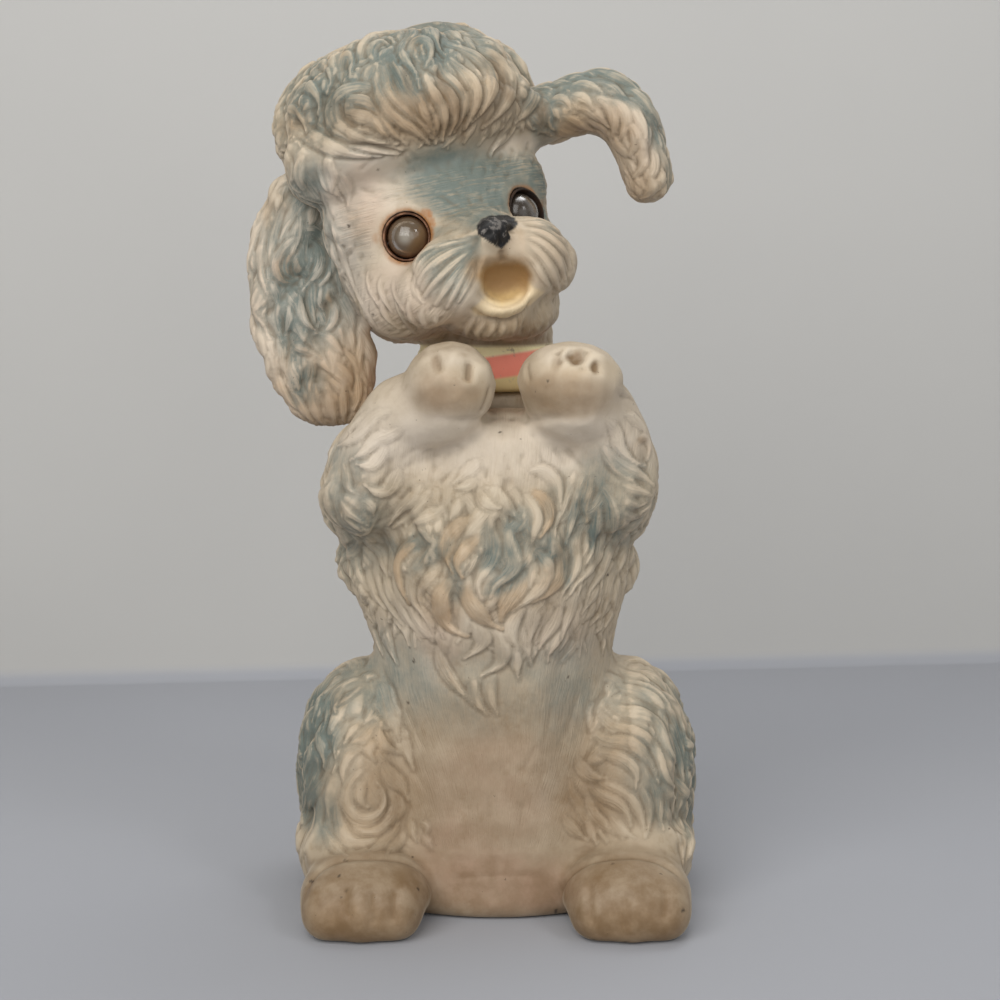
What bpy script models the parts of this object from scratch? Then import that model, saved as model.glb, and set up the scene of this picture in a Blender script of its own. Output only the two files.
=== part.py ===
# Rubber squeak toy: a begging poodle with a turning head, two weighted sleep eyes and a reed squeaker.
# Metres, +Z up. The toy sits on z = 0 and looks along -Y. Its right ear hangs, at -X, and its left ear flies out.

import bpy
import bmesh
import numpy as np
from math import cos, pi, radians, sin, sqrt
from mathutils import Euler, Matrix, Vector
from mathutils.bvhtree import BVHTree

for old in list(bpy.data.objects):
    bpy.data.objects.remove(old)

MM = 0.001

# Driving dimensions, in millimetres
WALL = 2.8                      # rubber wall of the two mouldings
CLEARANCE = 0.3                 # gap between pieces that touch or are pushed together
WELD = 0.02                     # corners closer than this become one
NECK_X, NECK_Y = -3.0, 4.0      # axis that the head turns about
NECK_SEAT_Z = 164.2             # top of the body's neck post, under the collar
NECK_POST_RADIUS = 18.5
COLLAR_RADIUS, COLLAR_HEIGHT = 22.5, 12.5
SPIGOT_RADIUS, SPIGOT_BORE = 13.5, 10.5
FLANGE_RADIUS, FLANGE_THICKNESS = 16.2, 3.6
HEAD_FLOOR_THICKNESS = 3.8      # ring of the head that the flange holds down
SKULL_CENTRE = (-17.0, -2.0, 210.0)
HEAD_TURN_DEG, HEAD_TILT_DEG, HEAD_NOD_DEG = 20.0, -14.0, -8.0
EYE_CENTRES = {-1: (-17.0, -23.2, 3.1), 1: (18.4, -23.2, 1.6)}    # in the head's own frame
EYE_SPLAY_DEG = 26.0
BALL_RADIUS, BALL_WALL, BALL_FRONT, BALL_BACK = 6.3, 0.8, 2.4, -4.1
CUP_RADIUS, CUP_WALL, CUP_FRONT, CUP_BACK = 7.3, 0.6, 4.6, -2.2
SLEEVE_WALL = 2.2               # rubber round each eye cup
DISC_THICKNESS = 0.3
AXLE_RADIUS, AXLE_HOLE_RADIUS, WIRE_RADIUS = 0.6, 0.75, 0.5
WEIGHT_RADIUS, WEIGHT_LENGTH, WEIGHT_REACH, WEIGHT_DROP_DEG = 2.6, 8.0, 11.0, 60.0
SQUEAKER_Y = 18.0
SQUEAKER_RADIUS, SQUEAKER_FLANGE, SQUEAKER_HEIGHT, SQUEAKER_WALL = 11.4, 14.0, 9.0, 0.8
FLANGE_SEAT = 1.4               # depth of the recess that takes the squeaker's flange
AIR_HOLE_RADIUS, CAP_HOLE_RADIUS, CAP_THICKNESS = 2.2, 3.0, 1.2
PLATE_LOW, PLATE_HIGH = 3.2, 4.6
REED_LOW, REED_HIGH, REED_HALF_WIDTH = 4.9, 5.15, 2.1
REED_BEND = (0.0, 5.1, 5.0)     # where the reed bends, in the squeaker's own frame
RIVET_Y, RIVET_RADIUS, RIVET_HEAD_RADIUS, RIVET_HOLE_RADIUS = 6.6, 0.7, 1.4, 0.85
FOOT_FRONT_Y = -36.8
TUFT_SPACING, TUFT_LENGTH, TUFT_HALF_WIDTH, TUFT_RISE = 12.5, 26.0, 5.0, 2.0
TUFT_STEP, TUFT_SWAY = 2.0, 0.7     # spacing of the points along a tuft, and how far it bends, in radians

NECK = Matrix.Translation(Vector((NECK_X, NECK_Y, 0)))
HEAD = (
    Matrix.Translation(Vector(SKULL_CENTRE))
    @ Matrix.Rotation(radians(HEAD_TURN_DEG), 4, "Z")
    @ Matrix.Rotation(radians(HEAD_TILT_DEG), 4, "Y")
    @ Matrix.Rotation(radians(HEAD_NOD_DEG), 4, "X")
)


# Materials

def finish(name, colour, roughness, metallic=0.0, alpha=1.0):
    material = bpy.data.materials.new(name)
    material.use_nodes = True
    shader = material.node_tree.nodes["Principled BSDF"]
    shader.inputs["Base Color"].default_value = (*colour, 1.0)
    shader.inputs["Roughness"].default_value = roughness
    shader.inputs["Metallic"].default_value = metallic
    shader.inputs["Alpha"].default_value = alpha
    return material


CREAM_RUBBER = finish("cream_rubber", (0.50, 0.41, 0.29), 0.55)
RUSTY_TIN = finish("rusty_tin", (0.13, 0.05, 0.02), 0.60, 0.6)
LID_PAINT = finish("eyelid_paint", (0.30, 0.15, 0.08), 0.45)
IRIS_PRINT = finish("iris_print", (0.16, 0.09, 0.04), 0.40)
CLEAR_LENS = finish("clear_lens", (0.62, 0.55, 0.44), 0.08, 0.0, 0.35)
STEEL_WIRE = finish("steel_wire", (0.35, 0.32, 0.30), 0.40, 1.0)
LEAD = finish("lead", (0.18, 0.18, 0.19), 0.60, 1.0)
ALUMINIUM = finish("aluminium", (0.60, 0.60, 0.59), 0.40, 1.0)
BRASS_REED = finish("brass_reed", (0.55, 0.40, 0.16), 0.35, 1.0)


# Building tools

def link(name, mesh, material):
    piece = bpy.data.objects.new(name, mesh)
    bpy.context.scene.collection.objects.link(piece)
    if material:
        mesh.materials.clear()
        mesh.materials.append(material)
    return piece


def applied(piece):
    """Makes the piece's evaluated shape its own mesh and drops its modifiers."""
    bpy.context.view_layer.update()
    graph = bpy.context.evaluated_depsgraph_get()
    mesh = bpy.data.meshes.new_from_object(piece.evaluated_get(graph))
    piece.modifiers.clear()
    piece.data = mesh
    return piece


def welded(piece):
    """Closes the hairline seams that a cut through many small facets leaves."""
    bm = bmesh.new()
    bm.from_mesh(piece.data)
    bmesh.ops.remove_doubles(bm, verts=bm.verts, dist=WELD * MM)
    bmesh.ops.dissolve_degenerate(bm, edges=bm.edges, dist=WELD * MM)
    bmesh.ops.triangulate(bm, faces=bm.faces)
    bm.to_mesh(piece.data)
    bm.free()
    return piece


def combined(piece, other, operation):
    """Joins, cuts or trims the piece by another one, which is then removed."""
    step = piece.modifiers.new(operation.lower(), "BOOLEAN")
    step.object = other
    step.operation = operation
    step.solver = "EXACT"
    applied(piece)
    bpy.data.objects.remove(other)
    return welded(piece)


def cut(piece, *tools):
    for tool in tools:
        combined(piece, tool, "DIFFERENCE")
    return piece


def joined(piece, *others):
    for other in others:
        combined(piece, other, "UNION")
    return piece


def add_blob(bm, centre, radii, turn=(0, 0, 0), frame=Matrix.Identity(4), detail=3):
    """An ellipsoid, in millimetres, turned by Euler degrees in the given frame."""
    place = (
        frame
        @ Matrix.Translation(Vector(centre))
        @ Euler([radians(a) for a in turn]).to_matrix().to_4x4()
        @ Matrix.Diagonal((*radii, 1.0))
    )
    bmesh.ops.create_icosphere(bm, subdivisions=detail, radius=1.0, matrix=Matrix.Scale(MM, 4) @ place)


def fused(name, blobs, voxel=1.5, smoothing=8, faces=4000, mouths=(), hair=None):
    """Blobs melted into one skin, hollowed softly by mouths, tufted with hair, and thinned to some triangles."""
    def skin(skin_name, parts):
        bm = bmesh.new()
        for centre, radii, turn, frame in parts:
            add_blob(bm, centre, radii, turn, frame)
        mesh = bpy.data.meshes.new(skin_name)
        bm.to_mesh(mesh)
        bm.free()
        shape = link(skin_name, mesh, None)
        melt = shape.modifiers.new("melt", "REMESH")
        melt.mode = "VOXEL"
        melt.voxel_size = voxel * MM
        return applied(shape)

    piece = skin(name, blobs)
    if mouths:
        cut(piece, skin(name + "_mouth", mouths))
    smooth = piece.modifiers.new("smooth", "SMOOTH")
    smooth.factor = 0.5
    smooth.iterations = smoothing
    applied(piece)
    if hair:
        raise_tufts(piece, *hair)
    thin = piece.modifiers.new("thin", "DECIMATE")
    thin.ratio = min(1.0, faces / sum(len(f.vertices) - 2 for f in piece.data.polygons))
    return applied(piece)


def fade(value, low, high):
    """0 at low, 1 at high and smooth between, for numbers or arrays; low may be the greater."""
    t = np.clip((value - low) / (high - low), 0, 1)
    return t * t * (3 - 2 * t)


def unit(vector):
    return vector / max(np.linalg.norm(vector), 1e-9)


def tuft_line(tree, place, normal, flow, sway):
    """Points of one tuft, which follows the flow over the skin and sways like a lock of hair."""
    points = [place]
    steps = int(TUFT_LENGTH / TUFT_STEP)
    for k in range(steps):
        ahead = flow(place)
        ahead = unit(ahead - normal * (ahead @ normal))
        bend = sway * cos(2 * pi * k / steps)
        ahead = ahead * cos(bend) + np.cross(normal, ahead) * sin(bend)
        near, out = tree.find_nearest(Vector(place + ahead * TUFT_STEP))[:2]
        place, normal = np.array(near), np.array(out)
        points.append(place)
    return np.array(points)


def raise_tufts(piece, mask_of, flow, order):
    """Broad, tapering locks of hair, evenly spaced over the masked parts, each lying over those before it."""
    mesh = piece.data
    flat = np.empty(3 * len(mesh.vertices))
    mesh.vertices.foreach_get("co", flat)
    points = flat.reshape(-1, 3) / MM
    mesh.vertex_normals.foreach_get("vector", flat)
    normals = flat.reshape(-1, 3).copy()
    tree = BVHTree.FromPolygons([Vector(p) for p in points], [f.vertices[:] for f in mesh.polygons])
    mask = mask_of(points, normals)
    roots = []
    for k in np.random.default_rng(5).permutation(np.flatnonzero(mask > 0.6)):
        if all(np.linalg.norm(points[k] - points[other]) > TUFT_SPACING for other in roots):
            roots.append(k)
    relief = np.zeros(len(points))
    for k in sorted(roots, key=lambda root: order(points[root])):
        line = tuft_line(tree, points[k], normals[k], flow, TUFT_SWAY * (-1) ** (k % 2))
        near = np.flatnonzero(np.linalg.norm(points - line.mean(0), axis=1) < TUFT_LENGTH)
        gaps = np.linalg.norm(points[near][:, None] - line, axis=2)
        along = gaps.argmin(1) / (len(line) - 1)
        width = TUFT_HALF_WIDTH * (0.6 + 0.4 * fade(along, 0, 0.35)) * (1 - 0.5 * fade(along, 0.5, 1))
        across = gaps.min(1) / width
        cover = fade(across, 1.2, 0.8) * fade(along, 0, 0.15)
        height = TUFT_RISE * np.clip(1 - across ** 2, 0, 1) * (0.4 + 0.6 * fade(along, 0, 0.6))
        crease = TUFT_RISE / 2 * np.exp(-((across - 1.25) / 0.3) ** 2) * fade(along, 0, 0.3)
        relief[near] = relief[near] * (1 - cover) + height * cover - crease * (1 - cover)
    relief = np.clip(relief, -TUFT_RISE * 0.6, TUFT_RISE)
    points += normals * (relief * mask)[:, None]
    mesh.vertices.foreach_set("co", (points * MM).ravel())
    mesh.update()
    soften = piece.modifiers.new("soften", "SMOOTH")
    soften.factor = 0.5
    soften.iterations = 2
    applied(piece)


def turned(name, profile, frame, material=None, segments=32):
    """A closed outline of (radius, height) points spun round the frame's own Z axis."""
    bm = bmesh.new()
    rings = []
    for k in range(segments):
        angle = 2 * pi * k / segments
        rings.append([
            bm.verts.new((r * MM * cos(angle), r * MM * sin(angle), h * MM)) if r > 0 else None
            for r, h in profile
        ])
    poles = {i: bm.verts.new((0, 0, h * MM)) for i, (r, h) in enumerate(profile) if r == 0}
    count = len(profile)
    for k in range(segments):
        ring, following = rings[k], rings[(k + 1) % segments]
        for i in range(count):
            j = (i + 1) % count
            corners = [
                ring[i] or poles[i],
                following[i] or poles[i],
                following[j] or poles[j],
                ring[j] or poles[j],
            ]
            corners = list(dict.fromkeys(corners))
            if len(corners) > 2:
                bm.faces.new(corners)
    bmesh.ops.recalc_face_normals(bm, faces=bm.faces)
    bm.transform(Matrix.Translation(frame.to_translation() * MM) @ frame.to_3x3().to_4x4())
    mesh = bpy.data.meshes.new(name)
    bm.to_mesh(mesh)
    bm.free()
    mesh.shade_smooth()
    mesh.set_sharp_from_angle(angle=radians(35))
    return link(name, mesh, material)


def rod(name, radius, low, high, frame, material=None, segments=32):
    return turned(name, [(0, low), (radius, low), (radius, high), (0, high)], frame, material, segments)


def slab(name, low, high, frame=Matrix.Identity(4), material=None):
    bm = bmesh.new()
    centre = (Vector(low) + Vector(high)) / 2
    size = Vector(high) - Vector(low)
    place = Matrix.Scale(MM, 4) @ frame @ Matrix.Translation(centre) @ Matrix.Diagonal((*size, 1.0))
    bmesh.ops.create_cube(bm, size=1.0, matrix=place)
    mesh = bpy.data.meshes.new(name)
    bm.to_mesh(mesh)
    bm.free()
    return link(name, mesh, material)


def pivot(name, point, *pieces):
    """An empty on a joint's axis that carries the pieces which turn about it."""
    empty = bpy.data.objects.new(name, None)
    empty.location = Vector(point) * MM
    bpy.context.scene.collection.objects.link(empty)
    for piece in pieces:
        piece.parent = empty
        piece.matrix_parent_inverse = Matrix.Translation(-empty.location)
    return empty


def smooth_shaded(piece, material, angle=40):
    piece.data.materials.clear()
    piece.data.materials.append(material)
    piece.data.shade_smooth()
    piece.data.set_sharp_from_angle(angle=radians(angle))
    return piece


# Forms of the two mouldings: (centre, radii, turn in degrees, frame)

def blob(centre, radii, turn=(0, 0, 0), frame=Matrix.Identity(4)):
    return (centre, radii, turn, frame)


def pair(centre, radii, turn=(0, 0, 0), frame=Matrix.Identity(4)):
    """The same form on both sides of the frame's YZ plane."""
    x, y, z = centre
    a, b, c = turn
    return [blob((-x, y, z), radii, (a, -b, -c), frame), blob(centre, radii, turn, frame)]


def chain(stations, steps=4, frame=Matrix.Identity(4)):
    """Forms along a limb, from stations of (centre, radii, turn), with steps between each two."""
    forms = []
    for (c0, r0, t0), (c1, r1, t1) in zip(stations, stations[1:]):
        for k in range(steps):
            t = k / steps
            forms.append(blob(
                Vector(c0).lerp(Vector(c1), t), Vector(r0).lerp(Vector(r1), t), Vector(t0).lerp(Vector(t1), t),
                frame,
            ))
    forms.append(blob(*stations[-1], frame))
    return forms


def shrunk(forms, by):
    """The forms thick enough to be hollow, each smaller by the wall."""
    return [
        (centre, [r - by for r in radii], turn, frame)
        for centre, radii, turn, frame in forms if min(radii) > by + 5.5
    ]


TORSO = [
    *chain([
        ((0, 0, 6), (47, 35, 16), (0, 0, 0)),
        ((0, 2, 30), (44.5, 34.5, 20), (0, 0, 0)),
        ((-1, 4, 60), (41, 34, 20), (0, 0, 0)),
        ((-1, 5, 84), (39.5, 35, 16), (0, 0, 0)),
        ((-2, 4, 103), (45.5, 39, 16), (0, 0, 0)),
        ((-2, 4, 122), (44, 40, 20), (0, 0, 0)),
        ((-2, 6, 142), (38, 33, 18), (0, 0, 0)),
    ], steps=3),
    blob((-3, 4, 109), (49, 34, 17)),                   # lower edge of the mane
    blob((-2, 24, 120), (34, 24, 36)),                  # back of the mane
]
CHEST = [
    *chain([
        ((3, -25, 149), (27, 18, 11.5), (0, 0, 0)),     # ledge that the paws rest on
        ((2, -17, 139), (35, 27, 17), (0, 0, 0)),
        ((0, -10, 124), (38, 34, 20), (0, 0, 0)),
        ((-1, -5, 108), (38, 37, 20), (0, 0, 0)),
        ((-1, 1, 90), (35, 35, 18), (0, 0, 0)),
    ], steps=4),
    *pair((24, -18, 140), (18, 22, 17)),
]
HAUNCHES = [
    *pair((43, 7, 39), (21.5, 37, 37)),
    *pair((44, -8, 16.5), (20, 28, 20)),
    *pair((40, 24, 20), (19, 20, 22)),
]
FEET = [
    *pair((40.5, FOOT_FRONT_Y, 10.5), (21, 21, 13.5)),
    *pair((51, FOOT_FRONT_Y - 9, 8.5), (9.5, 12, 11)),
    *pair((41, FOOT_FRONT_Y - 11, 9), (9, 11.5, 12)),
    *pair((31, FOOT_FRONT_Y - 9, 8.5), (9.5, 12, 11)),
]
RIGHT_ARM = [
    blob((-38, -2, 131), (17.5, 27, 18)),
    *chain([
        ((-39.5, -24, 135), (14.5, 15, 14), (0, 0, 0)),
        ((-34, -28, 147), (15, 14, 13), (0, 0, 0)),
        ((-27, -32, 158.5), (14, 14, 12.5), (0, 0, 0)),
        ((-16, -39, 163), (13.5, 14, 13), (0, 0, 0)),
    ], steps=3),
    blob((-13.7, -42, 168), (14, 14.5, 13.6)),
    blob((-19, -47.5, 172.5), (5.5, 6, 6)),
    blob((-12.5, -49.5, 174), (5.5, 6, 6)),
    blob((-6, -47.5, 171.5), (5, 6, 6)),
]
LEFT_ARM = [
    blob((34, -2, 133), (17.5, 27, 18)),
    *chain([
        ((35, -24, 138), (15, 15, 15), (0, 0, 0)),
        ((33.5, -28, 150), (14.5, 14, 13), (0, 0, 0)),
        ((29, -32, 159), (14, 14, 12.5), (0, 0, 0)),
        ((23, -39, 164), (15, 15, 13), (0, 0, 0)),
    ], steps=3),
    blob((22, -42, 169.3), (16.2, 14.5, 12.2)),
    blob((13.5, -47, 171.5), (5.5, 6, 6)),
    blob((20.5, -49.5, 174.5), (6, 6, 6)),
    blob((28, -48, 173.5), (6, 6, 6)),
    blob((33, -44, 170.5), (5, 6, 6)),
]
TAIL = [
    *chain([((0, 32, 18), (9, 9, 9), (0, 0, 0)), ((0, 39, 28), (9, 8, 9), (0, 0, 0))], steps=2),
    blob((0, 42, 37), (15, 12.5, 15)),
]
BODY_FORMS = TORSO + CHEST + HAUNCHES + FEET + RIGHT_ARM + LEFT_ARM + TAIL

FACE = [
    blob((0, 0, 2), (35, 35, 33), frame=HEAD),                        # skull
    *pair((19, -6, 12), (17.5, 20, 17), frame=HEAD),                  # temples
    *pair((17, -12, -12), (18, 20, 16), frame=HEAD),                  # cheeks
    blob((17, -16, -27), (9.5, 12, 9), frame=HEAD),                   # fur under the left cheek
    blob((11, -23, -29.5), (11, 11, 6.8), frame=HEAD),
    blob((0, -29, -5), (14, 20, 12), frame=HEAD),                     # bridge and muzzle
    *pair((12.5, -38.5, -12.5), (12.5, 13, 12.5), frame=HEAD),        # moustache
    *pair((20, -33, -16), (9.5, 11, 10), frame=HEAD),
    blob((0, -48.5, -3.2), (6.8, 5, 4.6), frame=HEAD),                # nose
    blob((0, -28, -24.5), (15, 15, 8.5), frame=HEAD),                 # jaw
    blob((0, -31, -29), (10, 9, 5.5), frame=HEAD),                    # chin tuft
]
LOWER_LIP = chain([
    ((-8.4, -40, -19.6), (2.1, 2.4, 2.1), (0, 0, 0)),
    ((-7, -43, -23.8), (2.2, 2.5, 2.2), (0, 0, 0)),
    ((-2, -45, -26.6), (2.4, 2.6, 2.3), (0, 0, 0)),
    ((5, -43.5, -26), (2.4, 2.6, 2.3), (0, 0, 0)),
    ((10.2, -41, -22.2), (2.2, 2.5, 2.2), (0, 0, 0)),
    ((11.6, -39, -17.5), (2.0, 2.4, 2.0), (0, 0, 0)),
], steps=5, frame=HEAD)
MOUTH = [
    blob((1.4, -45, -18.3), (8.6, 8, 6.3), (0, 12, 0), frame=HEAD),
]
TOPKNOT = [
    blob((0, 2, 44), (40.5, 37, 24.5), frame=HEAD),
    blob((-1, -14, 37), (35, 24, 18), frame=HEAD),
    blob((-24, -8, 33), (20, 22, 14), frame=HEAD),
    blob((22, -8, 36), (15, 20, 16), frame=HEAD),
    blob((0, 22, 24), (32, 20, 28), frame=HEAD),                      # hair down the back of the head
    blob((0, 21, -4), (29, 17, 25), frame=HEAD),
]
RIGHT_EAR = chain([
    ((-48, 2, 234), (10, 8, 9), (0, 0, 0)),
    ((-60.5, 2, 222), (13.5, 7.5, 10), (0, 0, 8)),
    ((-62.5, 1, 207), (17.5, 6.6, 10), (0, 0, 8)),
    ((-60.5, 0, 191), (19, 6.2, 10), (0, 0, 6)),
    ((-56, 0, 175), (18.8, 6.2, 10), (0, 0, 4)),
    ((-53.5, 0, 162), (14.5, 6, 10), (0, 0, 2)),
], steps=4)
LEFT_EAR = chain([
    ((12, 4, 250), (9, 13, 9.5), (0, 0, 0)),
    ((19.6, 3.5, 252.5), (9, 14, 9.3), (0, 0, 0)),
    ((27, 3, 254.8), (9, 15, 9.4), (0, 0, 0)),
    ((35.8, 2, 254), (9, 15.5, 9.2), (0, 0, 0)),
    ((41.4, 1.5, 249.4), (8.6, 15.5, 9), (0, 0, 0)),
    ((45, 1, 240), (7.4, 14, 8), (0, 0, 0)),
    ((47.4, 0, 230.5), (6.8, 11, 7.5), (0, 0, 0)),
], steps=3)
NECK_FUR = chain([
    ((NECK_X, NECK_Y, 181), (22, 22, 9), (0, 0, 0)),
    ((NECK_X - 5, NECK_Y, 192), (25, 25, 10), (0, 0, 0)),
], steps=3)
HEAD_FORMS = FACE + LOWER_LIP + TOPKNOT + RIGHT_EAR + LEFT_EAR + NECK_FUR


# Where the hair lies in tufts, and which way it flows

PAWS = ((-14.0, -42.0, 168.0), (22.0, -42.0, 169.0))
CROWN = np.array(HEAD @ Vector((3, -2, 74)))
FLUNG_EAR_LINE = np.array([centre for centre, _, _, _ in LEFT_EAR])


def body_hair(points, normals):
    """1 on the mane, the chest plumes, the haunches and the tail; 0 on paws, feet, belly, neck and base."""
    x, y, z = points.T
    aside = np.abs(x)
    mane = fade(z, 96, 102) * fade(z, 160, 154)
    plumes = fade(z, 70, 76) * fade(z, 104, 98) * fade(aside, 30, 24) * fade(y, -12, -18)
    haunches = fade(aside, 30, 35) * fade(z, 14, 19) * fade(z, 76, 71) * fade(y, -30, -24)
    tail = fade(np.linalg.norm(points - np.array(TAIL[-1][0]), axis=1), 19, 16) * fade(y, 38, 42)
    mask = np.maximum.reduce([mane, plumes, haunches, tail])
    for paw in PAWS:
        mask *= fade(np.linalg.norm(points - np.array(paw), axis=1), 22, 28)
    return mask * np.maximum(fade(np.hypot(x - NECK_X, y - NECK_Y), 24, 30), fade(z, 156, 150))


def body_order(place):
    return place[2]


def body_flow(place):
    return np.array((0.006 * place[0], 0.0, -1.0))


def head_hair(points, normals):
    """1 on the topknot, the nape and the ears' outer sides; 0 on the face and round the neck."""
    x, y, z = points.T
    inverse = np.array(HEAD.inverted())
    ahead, rise = (points @ inverse[:3, :3].T + inverse[:3, 3])[:, 1:].T
    hanging = fade(x, -44, -49) * fade(z, 160, 166)
    flung = fade(x, 26, 31) * fade(z, 222, 227)
    crown = fade(rise, 30, 35) * (1 - fade(x, 20, 25) * fade(z, 240, 246))
    nape = fade(ahead, 8, 13) * fade(rise, 36, 30) * fade(z, 176, 182)
    outward = fade(normals[:, 2] + 0.9 * normals[:, 0], -0.5, 0.0)     # not the side over the opening
    mask = np.maximum.reduce([crown, nape * (1 - fade(x, 20, 25)), hanging, flung * outward])
    return mask * np.maximum(fade(np.hypot(x - NECK_X, y - NECK_Y), 24, 30), fade(z, 184, 190))


def head_order(place):
    """The topknot's outer locks come first, so that the inner ones lie over them."""
    return -np.linalg.norm(place - CROWN)


def head_flow(place):
    if place[0] > 22:
        k = int(np.linalg.norm(FLUNG_EAR_LINE - place, axis=1).argmin())
        return unit(FLUNG_EAR_LINE[min(k + 1, len(FLUNG_EAR_LINE) - 1)] - FLUNG_EAR_LINE[max(k - 1, 0)])
    if place[0] < -46 or place[2] < 228:
        return np.array((0.0, 0.0, -1.0))
    return unit(place - CROWN) + np.array((0.0, 0.0, -0.45))


# The body moulding: torso, arms, legs and tail in one hollow skin, with a snap-in neck spigot on top

def body_shell():
    body = fused("body_shell", BODY_FORMS, faces=6000, hair=(body_hair, body_flow, body_order))
    combined(body, slab("above_floor", (-90, -90, 0), (90, 90, 185)), "INTERSECT")

    post = turned("neck_post", [
        (0, 140), (NECK_POST_RADIUS, 140), (NECK_POST_RADIUS, NECK_SEAT_Z), (SPIGOT_RADIUS, NECK_SEAT_Z),
        (SPIGOT_RADIUS, flange_bottom), (FLANGE_RADIUS, flange_bottom),
        (FLANGE_RADIUS - 1.2, flange_top), (0, flange_top),
    ], NECK, segments=40)
    joined(body, post)

    hollow = fused("body_hollow", shrunk(BODY_FORMS, WALL), voxel=2.4, smoothing=4, faces=640)
    cut(hollow, slab("floor_wall", (-90, -90, -20), (90, 90, WALL + 0.8)))
    joined(hollow, rod("spigot_bore", SPIGOT_BORE, 120, flange_top + 5, NECK, segments=40))
    cut(body, hollow)

    hole = rod("squeaker_hole", SQUEAKER_RADIUS + CLEARANCE, -2, WALL + 4, SQUEAKER)
    recess = rod("squeaker_recess", SQUEAKER_FLANGE + CLEARANCE, -2, FLANGE_SEAT, SQUEAKER)
    cut(body, joined(hole, recess))
    return smooth_shaded(body, CREAM_RUBBER)


# The head moulding: face, topknot, ears and collar in one skin, open at the neck and at the eyes

def head_shell():
    head = fused("head_shell", HEAD_FORMS, faces=5800, mouths=MOUTH, hair=(head_hair, head_flow, head_order))
    collar = turned("collar", [
        (0, collar_bottom), (COLLAR_RADIUS - 1.0, collar_bottom), (COLLAR_RADIUS, collar_bottom + 1.2),
        (COLLAR_RADIUS, collar_top - 1.2), (COLLAR_RADIUS - 1.0, collar_top),
        (COLLAR_RADIUS - 2.0, collar_top + 8), (0, collar_top + 8),
    ], NECK, segments=40)
    joined(head, collar)

    inner = [
        blob((0, 1, 4), (34 - WALL, 34 - WALL, 33 - WALL), frame=HEAD),
        blob((0, 4, 30), (30 - WALL, 26 - WALL, 22 - WALL), frame=HEAD),
        *pair((14.5, -15, -4.5), (13, 12, 13), frame=HEAD),            # room for the eye weights
    ]
    hollow = fused("head_hollow", inner, voxel=2.4, smoothing=4, faces=400)
    chamber_radius = COLLAR_RADIUS - WALL - 2.2
    chamber_top = head_floor_top + 20
    joined(hollow, rod("neck_chamber", chamber_radius, head_floor_top, chamber_top, NECK, segments=40))
    cut(head, hollow)
    for side in (-1, 1):
        frame = eye_frame(side)
        joined(head, rod("eye_sleeve", CUP_RADIUS + CLEARANCE + SLEEVE_WALL, CUP_BACK, 1.0, frame))
    for side in (-1, 1):
        cut(head, rod("eye_bore", CUP_RADIUS + CLEARANCE, CUP_BACK - 6, 16, eye_frame(side)))
    hole_radius = SPIGOT_RADIUS + CLEARANCE
    cut(head, rod("neck_hole", hole_radius, collar_bottom - 3, head_floor_top + 2, NECK, segments=40))
    pivot("neck_pivot", (NECK_X, NECK_Y, NECK_SEAT_Z), head)
    return smooth_shaded(head, CREAM_RUBBER)


# Sleep eyes: the eye's frame has +X along the axle, +Y up the face and +Z out of it

def eye_frame(side):
    outward = Matrix.Rotation(radians(EYE_SPLAY_DEG * side), 4, "Z") @ Matrix.Rotation(radians(90), 4, "X")
    return HEAD @ Matrix.Translation(Vector(EYE_CENTRES[side])) @ outward


def arc(radius, low, high, steps):
    """Points of a sphere's profile between two heights along its axis."""
    heights = [low + (high - low) * k / steps for k in range(steps + 1)]
    return [(sqrt(radius ** 2 - h ** 2), h) for h in heights]


def across(frame):
    """The frame with its Z axis along the axle."""
    return frame @ Matrix.Rotation(radians(90), 4, "Y")


def sleep_eye(word, side):
    frame = eye_frame(side)
    axle_frame = across(frame)

    cup = turned(word + "_eye_cup", [
        (CUP_RADIUS - CUP_WALL, CUP_BACK), (CUP_RADIUS, CUP_BACK), (CUP_RADIUS, CUP_FRONT - 0.4),
        (CUP_RADIUS - 0.2, CUP_FRONT), (CUP_RADIUS - CUP_WALL, CUP_FRONT),
    ], frame, RUSTY_TIN)
    cut(cup, rod("cup_pin_hole", AXLE_HOLE_RADIUS, -12, 12, axle_frame, segments=12))

    ball = turned(word + "_eyeball", [
        *arc(BALL_RADIUS, BALL_BACK, BALL_FRONT, 6),
        (sqrt(BALL_RADIUS ** 2 - BALL_FRONT ** 2) - 1.1, BALL_FRONT),
        *arc(BALL_RADIUS - BALL_WALL, BALL_FRONT - 1.0, BALL_BACK, 5),
    ], frame, LID_PAINT)
    cut(ball, rod("ball_pin_hole", AXLE_HOLE_RADIUS, -12, 12, axle_frame, segments=12))

    disc_low = BALL_FRONT + CLEARANCE
    disc_high = disc_low + DISC_THICKNESS
    disc_radius = sqrt(BALL_RADIUS ** 2 - disc_high ** 2)
    disc = rod(word + "_iris_disc", disc_radius, disc_low, disc_high, frame, IRIS_PRINT)
    lens_low = disc_high + CLEARANCE
    lens = turned(word + "_eye_lens", [
        (0, lens_low), *arc(BALL_RADIUS, lens_low, BALL_RADIUS, 5)[:-1], (0, BALL_RADIUS),
    ], frame, CLEAR_LENS)
    axle_reach = CUP_RADIUS - CUP_WALL / 2
    rod(word + "_eye_axle", AXLE_RADIUS, -axle_reach, axle_reach, axle_frame, STEEL_WIRE, segments=12)

    drop = radians(WEIGHT_DROP_DEG)
    behind = Vector((0, -WEIGHT_REACH * sin(drop), -WEIGHT_REACH * cos(drop)))
    half = WEIGHT_LENGTH / 2
    weight_frame = across(frame @ Matrix.Translation(behind))
    weight = rod(word + "_eye_weight", WEIGHT_RADIUS, -half, half, weight_frame, LEAD, segments=16)
    hanger = wire(word + "_weight_wire", frame, behind)
    pivot(word + "_eye_pivot", frame.to_translation(), ball, disc, lens, weight, hanger)


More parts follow.
